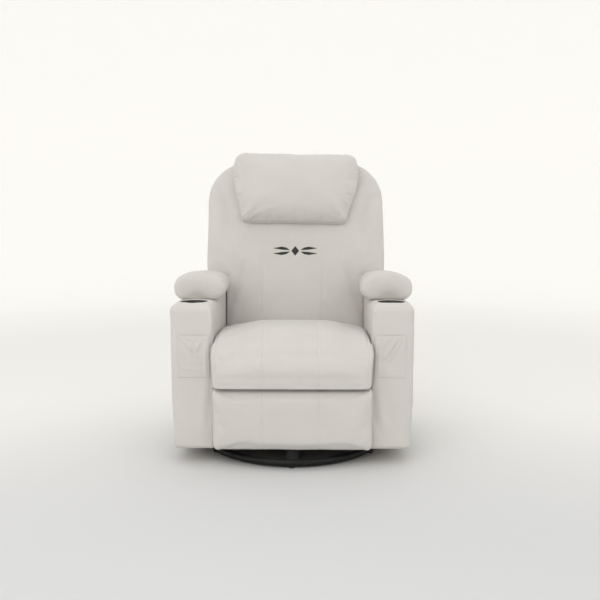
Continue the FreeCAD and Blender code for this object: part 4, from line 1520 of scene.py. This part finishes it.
@dataclass
class Arm:
    """One upholstered arm with its bolster, cup holder and front pocket."""

    side: int
    edge: float = 0.021
    inner_edge: float = 0.006
    panel: float = 0.030
    hole: float = 0.0468
    taper: float = 0.007
    flare: float = 0.010
    cup_rise: float = 0.0042
    droop: float = 0.026
    patch_gap: float = 0.0006
    patch_thickness: float = 0.0007
    hem: float = 0.905

    def __post_init__(self) -> None:
        """Takes the spaces that the CAD solids hold."""
        self.name = "left" if self.side > 0 else "right"
        self.low, self.high = held_space(self.name + "_arm_cover")
        self.inner = self.low.x if self.side > 0 else self.high.x
        self.outer = self.high.x if self.side > 0 else self.low.x
        low, high = held_space(self.name + "_cup_holder")
        self.cup = (low + high) / 2
        self.cup_low, self.cup_high = low.z, high.z
        low, high = held_space("release_bezel")
        self.latch = (low + high) / 2

    def build(self) -> None:
        """Makes every piece of the arm."""
        ground = self.cover()
        self.pad()
        self.cup_holder()
        self.pocket(ground)

    def box(self, seam: Seam) -> bpy.types.Object:
        """The plain box: rounded outside and on top, tighter next to the seat.

        Args:
            seam: the seam whose loops it needs.

        Returns:
            The box as a piece.
        """
        form = Form.block(self.low, self.high)
        upright = form.edges(lambda a, b: abs(a.z - b.z) > 0.1)
        top = form.edges(lambda a, b: min(a.z, b.z) > self.high.z - 0.01)
        close = [edge for edge in upright if abs(edge.verts[0].co.x - self.inner) < 1e-6]
        form.round([edge for edge in upright + top if edge not in close], self.edge, 5)
        upright = form.edges(lambda a, b: abs(a.z - b.z) > 0.1)
        close = [e for e in upright if max(abs(v.co.x - self.inner) for v in e.verts) < 1e-5]
        form.round(close, self.inner_edge, 4)
        form.rows(0, (self.low.x, self.high.x), 0.010)
        form.rows(1, (self.low.y, self.high.y), 0.012)
        form.rows(2, (self.low.z, self.high.z), 0.012)
        form.slice(1, seam.loops())
        return form.piece(self.name + "_arm_upholstery")

    def cover(self) -> BVHTree:
        """The upholstered box, with a hole for the cup holder.

        Returns:
            Its surface before the holes, for the pocket to lie on.
        """
        place = self.low.y + self.panel
        seam = Seam(1, place, depth=0.0016, width=0.0035, seed=2.0 + self.side)
        piece = self.box(seam)
        skin = Skin(piece)
        self.puff(skin)
        beside = scale_between(-np.abs(skin.normals[:, 1]), -0.6, -0.2)
        seam.press(skin, beside)
        for fold in self.folds():
            fold.press(skin)
        skin.ripple(0.0016, 0.11, 20.0 + self.side)
        skin.ripple(0.0007, 0.034, 24.0 + self.side)
        self.round_cup(skin)
        out = np.clip((skin.x - self.inner) / (self.outer - self.inner), 0.0, 1.0)
        skin.points[:, 0] -= self.side * self.taper * out * scale_between(-skin.z, -0.23, -0.06)
        behind = scale_between(skin.y, -0.22, 0.08) * scale_between(skin.z, 0.22, 0.32)
        skin.points[:, 0] += self.side * self.flare * (1.0 - out) ** 3 * behind
        skin.points[:, 2] = np.maximum(skin.z, self.low.z)
        skin.write()
        ground = surface_of(piece)
        cutter = Form()
        bmesh.ops.create_cone(
            cutter.bm,
            cap_ends=True,
            segments=64,
            radius1=self.hole,
            radius2=self.hole,
            depth=0.16,
            matrix=Matrix.Translation((self.cup.x, self.cup.y, self.cup_high)),
        )
        self.bore(piece, cutter)
        if self.side < 0:
            low, high = held_space("release_bezel")
            flange = Vector((0, 0.0035, 0.0035))
            self.bore(piece, Form.block(low + flange - Vector((0.02, 0, 0)), high - flange))
        settle(piece, Body.SEAT, WARDROBE.upholstery, self.name + "_arm_cover")
        return ground

    def round_cup(self, skin: Skin) -> None:
        """Raises the padding round the cup, most of all in front of it.

        Args:
            skin: the surface.
        """
        above = skin.normals[:, 2] > 0.5
        away = np.hypot(skin.x - self.cup.x, skin.y - self.cup.y)
        skin.points[:, 2] += above * self.cup_rise * (1.0 - scale_between(away, 0.052, 0.082))
        ahead = np.exp(-(((skin.y - self.low.y - 0.020) / 0.013) ** 2))
        skin.points[:, 2] += above * (0.0022 + 0.0010 * self.side) * ahead

    def puff(self, skin: Skin) -> None:
        """Swells each face a little between its edges.

        Args:
            skin: the surface.
        """
        share = (skin.points - np.array(self.low)) / np.array(self.high - self.low)
        room = np.clip(4.0 * share * (1.0 - share), 0.0, 1.0) ** 0.5
        ways = np.abs(skin.normals) > 0.7
        swell = np.zeros(len(skin.points))
        swell += ways[:, 0] * room[:, 1] * room[:, 2] * 0.0035
        swell += ways[:, 1] * room[:, 0] * room[:, 2] * 0.0030
        swell += ways[:, 2] * room[:, 0] * room[:, 1] * 0.0020
        if self.side < 0:
            away = np.hypot(skin.y - self.latch.y, skin.z - self.latch.z)
            swell *= 1.0 - (skin.x < self.latch.x) * (1.0 - scale_between(away, 0.055, 0.12))
        skin.push(swell * (skin.normals[:, 2] > -0.5))

    def folds(self) -> list[Fold]:
        """Long soft creases where the seat presses on the arm, and slack at the front's foot.

        Returns:
            The folds.
        """
        front, inner, s = self.low.y, self.inner, self.side
        found = [
            Fold((inner, front + 0.008, 0.46), (inner + s * 0.007, front, 0.36), 0.0055, -0.0055),
            Fold((inner + s * 0.007, front, 0.37), (inner + s * 0.001, front, 0.27), 0.0060, -0.0050),
            Fold((inner + s * 0.018, front, 0.43), (inner + s * 0.017, front, 0.31), 0.0080, 0.0035),
            Fold((inner + s * 0.006, front, 0.27), (inner + s * 0.022, front, 0.12), 0.009, -0.0030),
            Fold((inner + s * 0.030, front, 0.24), (inner + s * 0.040, front, 0.10), 0.012, 0.0025),
            Fold((inner, front + 0.05, 0.47), (inner, front + 0.16, 0.45), 0.008, -0.0022),
            Fold((inner, front + 0.30, 0.50), (inner, front + 0.42, 0.46), 0.009, -0.0025),
        ]
        if self.side > 0:
            found.append(Fold((inner + 0.012, front, 0.17), (inner + 0.05, front, 0.09), 0.010, -0.0022))
        else:
            found.append(Fold((inner - 0.014, front, 0.36), (inner - 0.006, front, 0.20), 0.006, -0.003))
        return found

    def bore(self, piece: bpy.types.Object, cutter: Form) -> None:
        """Takes a form away from a piece.

        Args:
            piece: the upholstered box.
            cutter: the shape of the opening.
        """
        tool = cutter.piece("opening")
        hole = piece.modifiers.new("opening", "BOOLEAN")
        hole.operation = "DIFFERENCE"
        hole.solver = "EXACT"
        hole.object = tool
        bake(piece)
        bpy.data.objects.remove(tool)

    def pad(self) -> None:
        """The bolster on top of the arm."""
        low, high = held_space(self.name + "_arm_pad")
        inner, outer = (low.x, high.x) if self.side > 0 else (high.x, low.x)
        s, foot, top = self.side, low.z, high.z
        middle = (foot + top) / 2
        section = [
            (inner + s * 0.036, foot + 0.001),
            (inner + s * 0.012, foot + 0.020),
            (inner + s * 0.006, middle - 0.004),
            (inner + s * 0.016, middle + 0.022),
            (inner + s * 0.042, top - 0.012),
            (inner + s * 0.075, top - 0.005),
            (outer - s * 0.072, top - 0.005),
            (outer - s * 0.040, top - 0.013),
            (outer - s * 0.015, middle + 0.022),
            (outer - s * 0.006, middle - 0.004),
            (outer - s * 0.008, foot + 0.022),
            (outer - s * 0.026, foot + 0.001),
        ]
        outline = [Vector((x, low.y + 0.006, z)) for x, z in section]
        form = Form.prism(outline, Vector((0, high.y - low.y - 0.012, 0)))
        ends = form.edges(lambda a, b: abs(a.y - b.y) < 1e-6)
        form.round(ends, 0.024, 5)
        piece = form.piece(self.name + "_arm_bolster")
        Stuffing(voxel=0.0055, cap=0.008).fill(piece, lambda skin: skin.z < foot + 0.004)
        fit(piece, (low.x - 0.002, low.y, foot), (high.x + 0.002, high.y, top + 0.001))
        subdivide(piece)
        skin = Skin(piece)
        back = np.clip((skin.y - low.y) / (high.y - low.y), 0.0, 1.0)
        above = np.clip((skin.z - foot) / (top - foot), 0.0, 1.0)
        skin.points[:, 2] -= self.droop * above * back
        centre = (low.x + high.x) / 2
        toward = np.clip(-s * (skin.x - centre) / (high.x - centre), -1.0, 1.0)
        skin.points[:, 0] += s * np.where(toward > 0, 0.022, 0.006) * toward * back
        gap = np.abs(skin.y - (low.y + 0.032))
        ring = np.exp(-((gap / 0.0035) ** 2)) * (skin.z > foot + 0.01)
        skin.push(-0.0012 * ring)
        # Painted shade in the sunken seam ring round the bolster's front.
        skin.seam += 0.35 * ring
        for index in range(5):
            y = low.y + 0.05 + 0.035 * index
            start = (inner + s * 0.010, y, foot + 0.026)
            end = (inner + s * 0.030, y + 0.010, foot + 0.006)
            Fold(start, end, 0.004, -0.002).press(skin)
        skin.ripple(0.0016, 0.06, 31.0 + self.side)
        skin.ripple(0.0006, 0.022, 35.0 + self.side)
        skin.points[:, 2] = np.maximum(skin.z, foot)
        skin.write()
        settle(piece, Body.SEAT, WARDROBE.upholstery, self.name + "_arm_pad")

    def cup_holder(self) -> None:
        """A turned cup with a rolled rim."""
        rim, wall, floor = self.cup_high, self.cup_high - 0.0035, self.cup_low + 0.0025
        profile = [
            (0.0, floor),
            (0.030, floor),
            (0.0395, floor + 0.0008),
            (0.0425, floor + 0.004),
            (0.0432, floor + 0.014),
            (0.0436, rim - 0.008),
            (0.0446, rim - 0.0016),
            (0.0462, rim - 0.0002),
            (0.0490, rim),
            (0.0512, rim - 0.0008),
            (0.0519, rim - 0.0022),
            (0.0516, wall),
            (0.0462, wall - 0.0004),
            (0.0460, floor + 0.006),
            (0.0440, self.cup_low + 0.0006),
            (0.0400, self.cup_low),
            (0.0, self.cup_low),
        ]
        piece = Form.turned(profile, self.cup, 64).piece(self.name + "_cup")
        finish = WARDROBE.by_slot()[Slot.BLACK_PLASTIC]
        node = self.name + "_cup_holder"
        settle(piece, Body.SEAT, finish, node, slot=Slot.BLACK_PLASTIC)

    def pocket(self, ground: BVHTree) -> None:
        """A patch pocket with a turned hem, slack cloth and slanting wrinkles.

        Args:
            ground: the arm's surface.
        """
        low, high = held_space(self.name + "_front_pocket")
        width, height = high.x - low.x, high.z - low.z
        form = Form()
        matrix = Matrix.Translation(((low.x + high.x) / 2, self.low.y, (low.z + high.z) / 2))
        matrix = matrix @ Matrix.Rotation(math.pi / 2, 4, "X")
        matrix = matrix @ Matrix.Diagonal((width, height, 1, 1))
        bmesh.ops.create_grid(form.bm, x_segments=48, y_segments=68, size=0.5, matrix=matrix)
        piece = form.piece(self.name + "_pocket_patch")
        skin = Skin(piece)
        across = (skin.x - low.x) / width
        up = (skin.z - low.z) / height
        edge = np.minimum(np.minimum(across, 1 - across) * width, up * height)
        swell = scale_between(edge, 0.0, 0.016)
        swell = swell * (0.0005 + 0.0011 * scale_between(up, 0.2, 1.0))
        inward = Vector((0, 1, 0))
        spots = [Vector((x, -1, z)) for x, _, z in skin.points]
        lying = np.array([ground.ray_cast(spot, inward)[0].y for spot in spots])
        skin.points[:, 1] = lying - self.patch_gap - swell
        hem = scale_between(up, self.hem, self.hem + 0.015)
        skin.points[:, 1] -= 0.0006 * hem
        skin.normals[:] = (0.0, -1.0, 0.0)
        inside = scale_between(edge, 0.002, 0.02) * (1 - hem)
        # Painted shade along the hem's fold line.
        skin.seam += 0.12 * np.exp(-(((up - self.hem) * height / 0.0014) ** 2))
        skin.push(-0.0004 * np.exp(-(((edge - 0.0045) / 0.0016) ** 2)))
        for fold in self.pocket_folds(low, high):
            fold.press(skin)
        skin.ripple(0.0014, 0.030, 41.0 + self.side, inside)
        skin.points[:, 1] = np.clip(skin.y, low.y - 0.003, lying - 0.0005)
        skin.write()
        thicken(piece, self.patch_thickness)
        settle(piece, Body.SEAT, WARDROBE.upholstery, self.name + "_front_pocket")
        self.sew_pocket(piece, low, high)

    def pocket_folds(self, low: Vector, high: Vector) -> list[Fold]:
        """The pocket's creases: a tall pinch on one arm, slanting ones on the other.

        Args:
            low: the pocket's lowest corner.
            high: its highest corner.

        Returns:
            The folds.
        """
        y, top = self.low.y - 0.006, high.z - 0.014
        mid = (low.x + high.x) / 2
        if self.side < 0:
            return [
                Fold((mid - 0.030, y, top), (mid - 0.004, y, top - 0.040), 0.0050, 0.0034),
                Fold((mid + 0.026, y, top - 0.004), (mid + 0.002, y, top - 0.044), 0.0050, 0.0034),
                Fold((mid - 0.002, y, top - 0.010), (mid, y, top - 0.070), 0.0042, -0.0026),
                Fold((mid + 0.008, y, top - 0.020), (mid + 0.010, y, top - 0.060), 0.0040, 0.0018),
                Fold((mid - 0.034, y, low.z + 0.030), (mid + 0.030, y, low.z + 0.026), 0.006, 0.0016),
            ]
        return [
            Fold((mid + 0.018, y, top), (mid - 0.018, y, top - 0.060), 0.0050, 0.0044),
            Fold((mid + 0.024, y, top - 0.006), (mid - 0.006, y, top - 0.062), 0.0040, -0.0020),
            Fold((mid + 0.031, y, top - 0.004), (mid - 0.002, y, top - 0.068), 0.0050, 0.0044),
            Fold((mid - 0.008, y, top - 0.004), (mid - 0.026, y, top - 0.044), 0.0042, -0.0022),
            Fold((mid - 0.036, y, top - 0.010), (mid - 0.030, y, top - 0.060), 0.0046, 0.0018),
        ]

    def sew_pocket(self, pocket: bpy.types.Object, low: Vector, high: Vector) -> None:
        """Lays bright stitches along the hem and matching ones round the patch.

        Args:
            pocket: the patch.
            low: its lowest corner.
            high: its highest corner.
        """
        ground = surface_of(pocket)
        y, hem = low.y - 0.01, high.z - 0.0125
        left, right, foot = low.x + 0.0045, high.x - 0.0045, low.z + 0.0045
        corners = [(left, hem), (left, foot), (right, foot), (right, hem)]
        runs = {
            "hem": (corners[0::3], WARDROBE.stitch),
            "patch": (corners, WARDROBE.quiet_stitch),
        }
        fine = Stitching(pitch=0.0046, length=0.0034, thickness=0.0006)
        for name, (run, finish) in runs.items():
            line = [Vector((x, y, z)) for x, z in run]
            piece = fine.rows(f"{self.name}_pocket_{name}_stitches", ground, [line])
            settle(piece, Body.SEAT, finish)


# ---------------------------------------------------------------- back


@dataclass
class Back:
    """The reclining back, built upright about its hinge and then leant back."""

    lean: float = 14.0
    foot: float = 0.028
    wing: float = 0.250
    top: float = 0.725
    low_half: float = 0.256
    half: float = 0.350
    shoulder: float = 0.168
    face: float = -0.045
    join: float = 0.075
    rear: float = 0.150
    seams: Span = (-0.131, 0.106)
    cross_seam: float = 0.030
    flap_half: float = 0.148
    flap_gap: float = 0.0022
    motif_height: float = 0.356
    motif_span: Span = (0.336, 0.376)
    pillow_middle: float = 0.004
    pillow_half: float = 0.2475
    pillow_depth: float = 0.092

    def __post_init__(self) -> None:
        """Works out where the upright back stands in the chair."""
        pivot = Matrix.Translation(joint_place("recline"))
        self.stand = pivot @ Matrix.Rotation(math.radians(-self.lean), 4, "X")

    def outline(self, spread: float, y: float, low_spread: float = 0.0) -> list[Vector]:
        """The back's outline at a depth: narrow between the arms, wide above, round shoulders.

        Args:
            spread: how far it stands outside the frame's outline.
            y: the depth.
            low_spread: the same for the part between the arms.

        Returns:
            The corners in order.
        """
        low, wide = self.low_half + low_spread, self.half + spread
        foot, wing = self.foot - low_spread / 2, self.wing - spread * 0.5
        top, radius = self.top + spread, self.shoulder
        right = [(low, foot), (low, wing), (wide - 0.010, wing), (wide, wing + 0.012)]
        for index in range(9):
            turn = math.radians(11.25 * index)
            x = wide - radius + radius * math.cos(turn)
            right.append((x, top - radius + radius * math.sin(turn)))
        left = [(-x, z) for x, z in reversed(right)]
        return [Vector((x, y, z)) for x, z in right + left]

    def finish(self, piece: bpy.types.Object, finish: Any, *replaced: str) -> None:
        """Leans a piece back and joins it to the back.

        Args:
            piece: the piece, still upright.
            finish: what it is made of.
            replaced: the CAD nodes that it stands for.
        """
        transform(piece, self.stand)
        settle(piece, Body.BACK, finish, *replaced)

    def build(self) -> None:
        """Makes every piece of the back."""
        cushion = self.cushion()
        shell = self.shell()
        self.flap(surface_of(cushion, shell))
        self.sew(surface_of(cushion))
        self.ornament(surface_of(cushion))
        self.pillow()
        self.finish(cushion, WARDROBE.upholstery, "back_cushion")
        self.finish(shell, WARDROBE.upholstery, "back_rear_shell")

    def cushion(self) -> bpy.types.Object:
        """The stuffed front, with two sewn channels.

        Returns:
            The cushion, still upright.
        """
        end = self.join + 0.012
        outline = self.outline(0.002, self.face, 0.0170)
        form = Form.prism(outline, Vector((0, end - self.face, 0)))
        piece = form.piece("back_cushion_cover")
        Stuffing(voxel=0.0078, cap=0.008).fill(piece, lambda skin: skin.y > self.join - 0.02)
        low = (-self.half - 0.007, self.face, self.foot - 0.003)
        high = (self.half + 0.010, end, self.top + 0.008)
        fit(piece, low, high)
        subdivide(piece)
        for place in self.seams:
            Seam(0, place).cut(piece)
        skin = Skin(piece)
        inside = depth_inside(skin.points[:, [0, 2]], self.outline(0.008, 0.0, 0.0180))
        tight = scale_between(self.wing + 0.01 - skin.z, 0.0, 0.02)
        tight *= np.abs(skin.x) < self.low_half + 0.03
        rim = self.face + 0.026 - 0.020 * tight
        ahead = np.clip((end - skin.y) / (end - self.face), 0.0, 1.0)
        crown = self.face - 0.004 * scale_between(inside, 0.02, 0.14)
        reach = rim + (crown - rim) * rounding(inside / (0.040 - 0.028 * tight))
        skin.points[:, 1] = end - ahead * (end - reach)
        front = scale_between(-skin.normals[:, 1], 0.2, 0.7)
        low = scale_between(-skin.z, -0.42, -0.26)
        for index, place in enumerate(self.seams):
            Seam(0, place, seed=index + 50.0).press(skin, front * low)
        for side in SIDES:
            for fold in self.flank_folds(side):
                fold.press(skin)
        skin.ripple(0.0022, 0.12, 52.0, front)
        skin.ripple(0.0008, 0.036, 57.0, front)
        skin.write()
        return piece

    def flank_folds(self, side: int) -> list[Fold]:
        """Soft hollows where the cushion's flank meets an arm and the wing above it.

        Args:
            side: -1 for the right, 1 for the left.

        Returns:
            The folds.
        """
        y = self.face
        return [
            Fold((side * 0.252, y, 0.16), (side * 0.20, y - 0.002, 0.30), 0.016, -0.0035),
            Fold((side * 0.252, y, 0.25), (side * 0.30, y, 0.30), 0.012, -0.0030),
            Fold((side * 0.26, y, 0.45), (side * 0.30, y, 0.60), 0.022, -0.003),
        ]

    def shell(self) -> bpy.types.Object:
        """The upholstered rear, with a seam across it.

        Returns:
            The cover, still upright.
        """
        seam = Seam(2, self.wing + self.cross_seam, depth=0.0018, width=0.0035, seed=60.0)
        start, end = self.join + 0.0004, self.rear
        form = Form.prism(self.outline(0.004, start, 0.0), Vector((0, end - start, 0)))
        rim = form.edges(lambda a, b: min(a.y, b.y) > end - 1e-6)
        form.round(rim, 0.030, 6)
        rim = form.edges(lambda a, b: max(a.y, b.y) < start + 1e-6)
        form.round(rim, 0.006, 3)
        form.rows(0, (-self.half, self.half), 0.014)
        form.rows(2, (self.foot, self.top), 0.014)
        form.rows(1, (start, end), 0.012)
        form.slice(2, seam.loops())
        piece = form.piece("back_rear_cover")
        skin = Skin(piece)
        behind = scale_between(skin.normals[:, 1], 0.3, 0.8)
        middle = np.clip(1.0 - (skin.x / self.half) ** 2, 0.0, 1.0)
        skin.push(0.004 * behind * middle)
        seam.press(skin, behind)
        skin.ripple(0.0020, 0.10, 61.0, behind)
        skin.ripple(0.0007, 0.034, 66.0)
        skin.points[:, 1] = np.maximum(skin.y, start)
        skin.write()
        return piece

    def flap(self, ground: BVHTree) -> None:
        """The cloth flap that holds the pillow, laid over the top and down the rear.

        Args:
            ground: the surface of the back, still upright.
        """
        form, half = Form(), self.flap_half
        core = Vector((0, self.join + 0.030, self.top - 0.035))
        aims = [(self.face + 0.004 + 0.0125 * index, self.top + 0.085) for index in range(12)]
        for index in range(10):
            turn = math.radians(10.0 * index)
            aims.append((core.y + 0.12 * math.sin(turn), core.z + 0.12 * math.cos(turn)))
        aims += [(core.y + 0.12, core.z - 0.0141 * index) for index in range(1, 9)]
        points = [form.bm.verts.new((-half, y, z)) for y, z in aims]
        strip = bmesh.ops.extrude_edge_only(form.bm, edges=form.joined(points))
        moved = [item for item in strip["geom"] if isinstance(item, bmesh.types.BMVert)]
        bmesh.ops.translate(form.bm, verts=moved, vec=(2 * half, 0, 0))
        form.rows(0, (-half, half), 0.012)
        for vert in form.bm.verts:
            under = Vector((vert.co.x, min(vert.co.y, core.y), min(vert.co.z, core.z)))
            away = (vert.co - under).normalized()
            hit = ground.ray_cast(vert.co, -away)
            if hit[0] is not None:
                vert.co = hit[0] + away * self.flap_gap
        bmesh.ops.recalc_face_normals(form.bm, faces=form.bm.faces)
        area = sum(face.calc_area() for face in form.bm.faces)
        piece = form.piece("pillow_flap_cloth")
        skin = Skin(piece)
        skin.ripple(0.0008, 0.05, 71.0)
        skin.write()
        thicken(piece, 0.0018)
        flat = (2 * half, round(area / (2 * half), 3))
        self.finish(piece, WARDROBE.upholstery, "pillow_flap")

    def sew(self, ground: BVHTree) -> None:
        """Lays the stitches beside each channel of the cushion.

        Args:
            ground: the cushion's surface.
        """
        y, heights = self.face - 0.01, (0.05, 0.15, 0.25, 0.34)
        lines = [[Vector((x + STITCH_GAP, y, z)) for z in heights] for x in self.seams]
        piece = Stitching().rows("back_cushion_stitches", ground, lines)
        self.finish(piece, WARDROBE.stitch)

    def motif(self) -> list[list[tuple[float, float]]]:
        """The motif's shapes: a diamond with two slim leaves on each side.

        Returns:
            The corners of each shape, from the motif's middle.
        """
        shapes = [[(-0.015, 0.0), (0.0, -0.019), (0.015, 0.0), (0.0, 0.019)]]
        leaf = [(0.021, 0.003), (0.034, 0.0130), (0.054, 0.0165), (0.088, 0.0105), (0.052, 0.0045)]
        for side in SIDES:
            for rise in SIDES:
                shapes.append([(side * x, rise * z) for x, z in leaf])
        return shapes

    def ornament(self, ground: BVHTree) -> None:
        """A small plain embroidered motif, laid on the cushion and raised like satin stitch.

        Args:
            ground: the cushion's surface.
        """
        form, inward = Form(), Vector((0, 1, 0))
        y, middle = self.face - 0.03, self.motif_height
        for shape in self.motif():
            form.bm.faces.new([form.bm.verts.new((x + 0.0015, y, z + middle)) for x, z in shape])
        form.rows(0, (-0.09, 0.093), 0.0025)
        form.rows(2, self.motif_span, 0.0025)
        bmesh.ops.recalc_face_normals(form.bm, faces=form.bm.faces)
        if form.bm.faces[0].normal.y > 0:
            bmesh.ops.reverse_faces(form.bm, faces=form.bm.faces)
        for vert in form.bm.verts:
            hit = ground.ray_cast(vert.co, inward)
            raised = 0.0014 if not vert.is_boundary else 0.0004
            if hit[0] is not None:
                vert.co = hit[0] + Vector((0, -raised, 0))
        piece = form.piece("back_motif")
        thicken(piece, 0.0012, -1.0)
        self.finish(piece, WARDROBE.ornament)

    def pillow_outline(self, y: float) -> list[Vector]:
        """The pillow's outline at a depth, narrower at its foot.

        Args:
            y: the depth.

        Returns:
            The corners in order.
        """
        top, foot, middle = self.top + 0.008, self.top - 0.260, self.pillow_middle
        half = [
            (0.190, foot + 0.001),
            (0.203, foot + 0.008),
            (0.214, foot + 0.048),
            (0.235, foot + 0.120),
            (0.245, foot + 0.185),
            (0.245, top - 0.045),
            (0.238, top - 0.022),
            (0.224, top - 0.008),
            (0.200, top - 0.001),
            (0.120, top),
        ]
        outline = [Vector((x + middle, y, z)) for x, z in half]
        return outline + [Vector((-x + middle, y, z)) for x, z in reversed(half)]

    def pillow(self) -> None:
        """The stuffed head pillow, full in the middle, with gathered edges."""
        rest = self.face - 0.0005
        front = rest - self.pillow_depth
        outline = self.pillow_outline(front)
        form = Form.prism(outline, Vector((0, rest - front, 0)))
        piece = form.piece("head_pillow_cover")
        remesh(piece, 0.0060)
        skin = Skin(piece)
        inside = depth_inside(skin.points[:, [0, 2]], outline)
        share = (rest - skin.y) / (rest - front)
        full = 0.34 + 0.66 * rounding(inside / 0.095)
        skin.points[:, 1] = rest - 0.006 - share * full * (rest - 0.006 - front)
        skin.write()
        fuller = Stuffing(voxel=0.0058, cap=0.012, pressure=5.0)
        fuller.fill(piece, lambda grown: grown.y > rest - 0.016)
        low = (self.pillow_middle - self.pillow_half, front - 0.002, self.top - 0.262)
        high = (self.pillow_middle + self.pillow_half, rest, self.top + 0.019)
        fit(piece, low, high)
        subdivide(piece)
        self.gather(piece, outline, rest)
        self.finish(piece, WARDROBE.upholstery, "head_pillow")

    def gather(self, piece: bpy.types.Object, outline: list[Vector], rest: float) -> None:
        """Presses the pillow's edge seam and the gathers that run in from it, with painted shade in both.

        Args:
            piece: the stuffed pillow.
            outline: its outline.
            rest: the depth of the surface that it lies on.
        """
        skin = Skin(piece)
        seam_y = rest - 0.026
        inside = depth_inside(skin.points[:, [0, 2]], outline)
        rim = np.exp(-((inside / 0.020) ** 2))
        line = np.exp(-(((skin.y - seam_y) / 0.0035) ** 2)) * rim
        skin.push(-0.0022 * line)
        # Painted shade along the pillow's sunken edge seam.
        skin.seam += 0.5 * line
        shown = scale_between(-skin.normals[:, 1], -0.4, 0.3)
        maker = random.Random(17)
        closed = [*outline, outline[0]]
        for a, b in zip(closed, closed[1:]):
            level = abs(a.z - b.z) < 1e-4
            count = max(int((b - a).length / (0.050 if level else 0.027)), 1)
            for index in range(count):
                spot = a.lerp(b, (index + maker.uniform(0.3, 0.7)) / count)
                heart = Vector((spot.x * 0.35, spot.y, self.top - 0.13))
                inward = (heart - spot).normalized() * maker.uniform(0.020, 0.048)
                y = seam_y - 0.030 - inward.length * 0.35
                start = (spot.x, seam_y - 0.006, spot.z)
                end = (spot.x + inward.x, y, spot.z + inward.z)
                depth = -maker.uniform(0.0006, 0.0018) * (1.0 if level else 1.5)
                Fold(start, end, maker.uniform(0.0032, 0.0050), depth).press(skin)
        dip = np.exp(-(((skin.x - 0.01) / 0.10) ** 2))
        dip *= scale_between(skin.z, self.top - 0.06, self.top)
        skin.points[:, 2] -= 0.003 * dip + 0.014 * (skin.x - self.pillow_middle)
        skin.points[:, 0] -= 0.008 * scale_between(self.top - skin.z, 0.05, 0.27)
        skin.ripple(0.0028, 0.085, 81.0, shown)
        skin.ripple(0.0009, 0.030, 86.0, shown)
        skin.points[:, 1] = np.minimum(skin.y, rest)
        skin.write()


@dataclass
class RearPanel:
    """The upholstered board low between the arms at the rear."""

    def build(self) -> None:
        """Makes the panel."""
        low, high = held_space("rear_lower_panel")
        form = Form.block(low, high)
        form.round(list(form.bm.edges), 0.002, 2)
        form.rows(0, (low.x, high.x), 0.014)
        form.rows(2, (low.z, high.z), 0.014)
        piece = form.piece("rear_panel_cover")
        skin = Skin(piece)
        behind = scale_between(skin.normals[:, 1], 0.3, 0.8)
        room = np.clip(1.0 - (skin.x / high.x) ** 2, 0.0, 1.0)
        skin.push(0.003 * behind * room)
        skin.ripple(0.0012, 0.07, 91.0, behind)
        skin.write()
        settle(piece, Body.SEAT, WARDROBE.upholstery, "rear_lower_panel")


# ---------------------------------------------------------------- studio


@dataclass
class Studio:
    """Seamless paper, soft lights and the camera."""

    reach: float = 5.6
    rise: float = 3.6
    bend: float = 1.6
    around: float = 0.65
    down: float = 7.2
    eye: Color = (0.023, -2.63, 0.85)
    lens: float = 43.8

    def build(self) -> None:
        """Makes everything round the chair."""
        self.paper()
        self.sky()
        self.light("key", (-1.3, -3.0, 2.3), 0.5, 2.6, 29.0)
        self.light("fill", (2.2, -2.6, 1.5), 0.5, 2.4, 7.5)
        self.light("rim", (0.3, 1.4, 3.1), 0.6, 2.2, 5.5)
        self.camera()

    def paper(self) -> None:
        """A round floor that curves up into a low wall all round."""
        bend = self.bend
        rows = [(0.0, 0.0), (2.0, 0.0), (self.reach - bend, 0.0)]
        for index in range(1, 13):
            turn = math.radians(7.5 * index)
            rows.append((self.reach - bend + bend * math.sin(turn), bend - bend * math.cos(turn)))
        rows.append((self.reach, self.rise))
        form = Form.turned(rows, Vector((0, 0, 0)), 96)
        form.bm.faces.ensure_lookup_table()
        first = form.bm.faces[0]
        if first.calc_center_median().z < 0.01 and first.normal.z < 0:
            bmesh.ops.reverse_faces(form.bm, faces=form.bm.faces)
        paper = form.piece("studio_paper")
        WARDROBE.dress(paper, StudioPaper())

    def sky(self) -> None:
        """Even light from all round."""
        world = bpy.data.worlds.new("studio")
        bpy.context.scene.world = world
        world.use_nodes = True
        shine = world.node_tree.nodes["Background"]
        shine.inputs["Color"].default_value = (1.0, 0.995, 0.985, 1.0)
        shine.inputs["Strength"].default_value = 0.87

    def light(self, name: str, spot: Color, aim: float, size: float, power: float) -> None:
        """Adds one soft box that points at the chair.

        Args:
            name: the light's name.
            spot: where it stands.
            aim: the height that it points at, over the middle.
            size: its side in metres.
            power: watts.
        """
        lamp = bpy.data.lights.new(name, "AREA")
        lamp.size = size
        lamp.energy = power
        lamp.color = (1.0, 0.985, 0.965)
        stand = bpy.data.objects.new(name, lamp)
        stand.location = spot
        toward = Vector((0, 0, aim)) - Vector(spot)
        stand.rotation_euler = toward.to_track_quat("-Z", "Y").to_euler()
        bpy.context.scene.collection.objects.link(stand)

    def camera(self) -> None:
        """The camera, a little right of the middle and looking slightly down."""
        eye = bpy.data.cameras.new("camera")
        eye.sensor_width = 36.0
        eye.lens = self.lens
        stand = bpy.data.objects.new("camera", eye)
        turn = Matrix.Rotation(math.radians(self.around), 4, "Z")
        axis = Vector(joint_place("swivel"))
        stand.location = axis + turn @ Vector(self.eye)
        stand.rotation_euler = (math.radians(90.0 - self.down), 0.0, math.radians(self.around))
        bpy.context.scene.collection.objects.link(stand)
        bpy.context.scene.camera = stand
        bpy.context.scene.view_settings.view_transform = "Standard"


def main() -> None:
    """Builds the whole chair and the studio round it."""
    logging.basicConfig(level=logging.INFO, format="%(name)s %(message)s")
    Studio().build()
    WARDROBE.dress_frame()
    SeatCushion().build()
    FootrestPad().build()
    for side in (1, -1):
        Arm(side).build()
    Back().build()
    RearPanel().build()
    LOG.info("done")


if __name__ == "__main__":
    main()
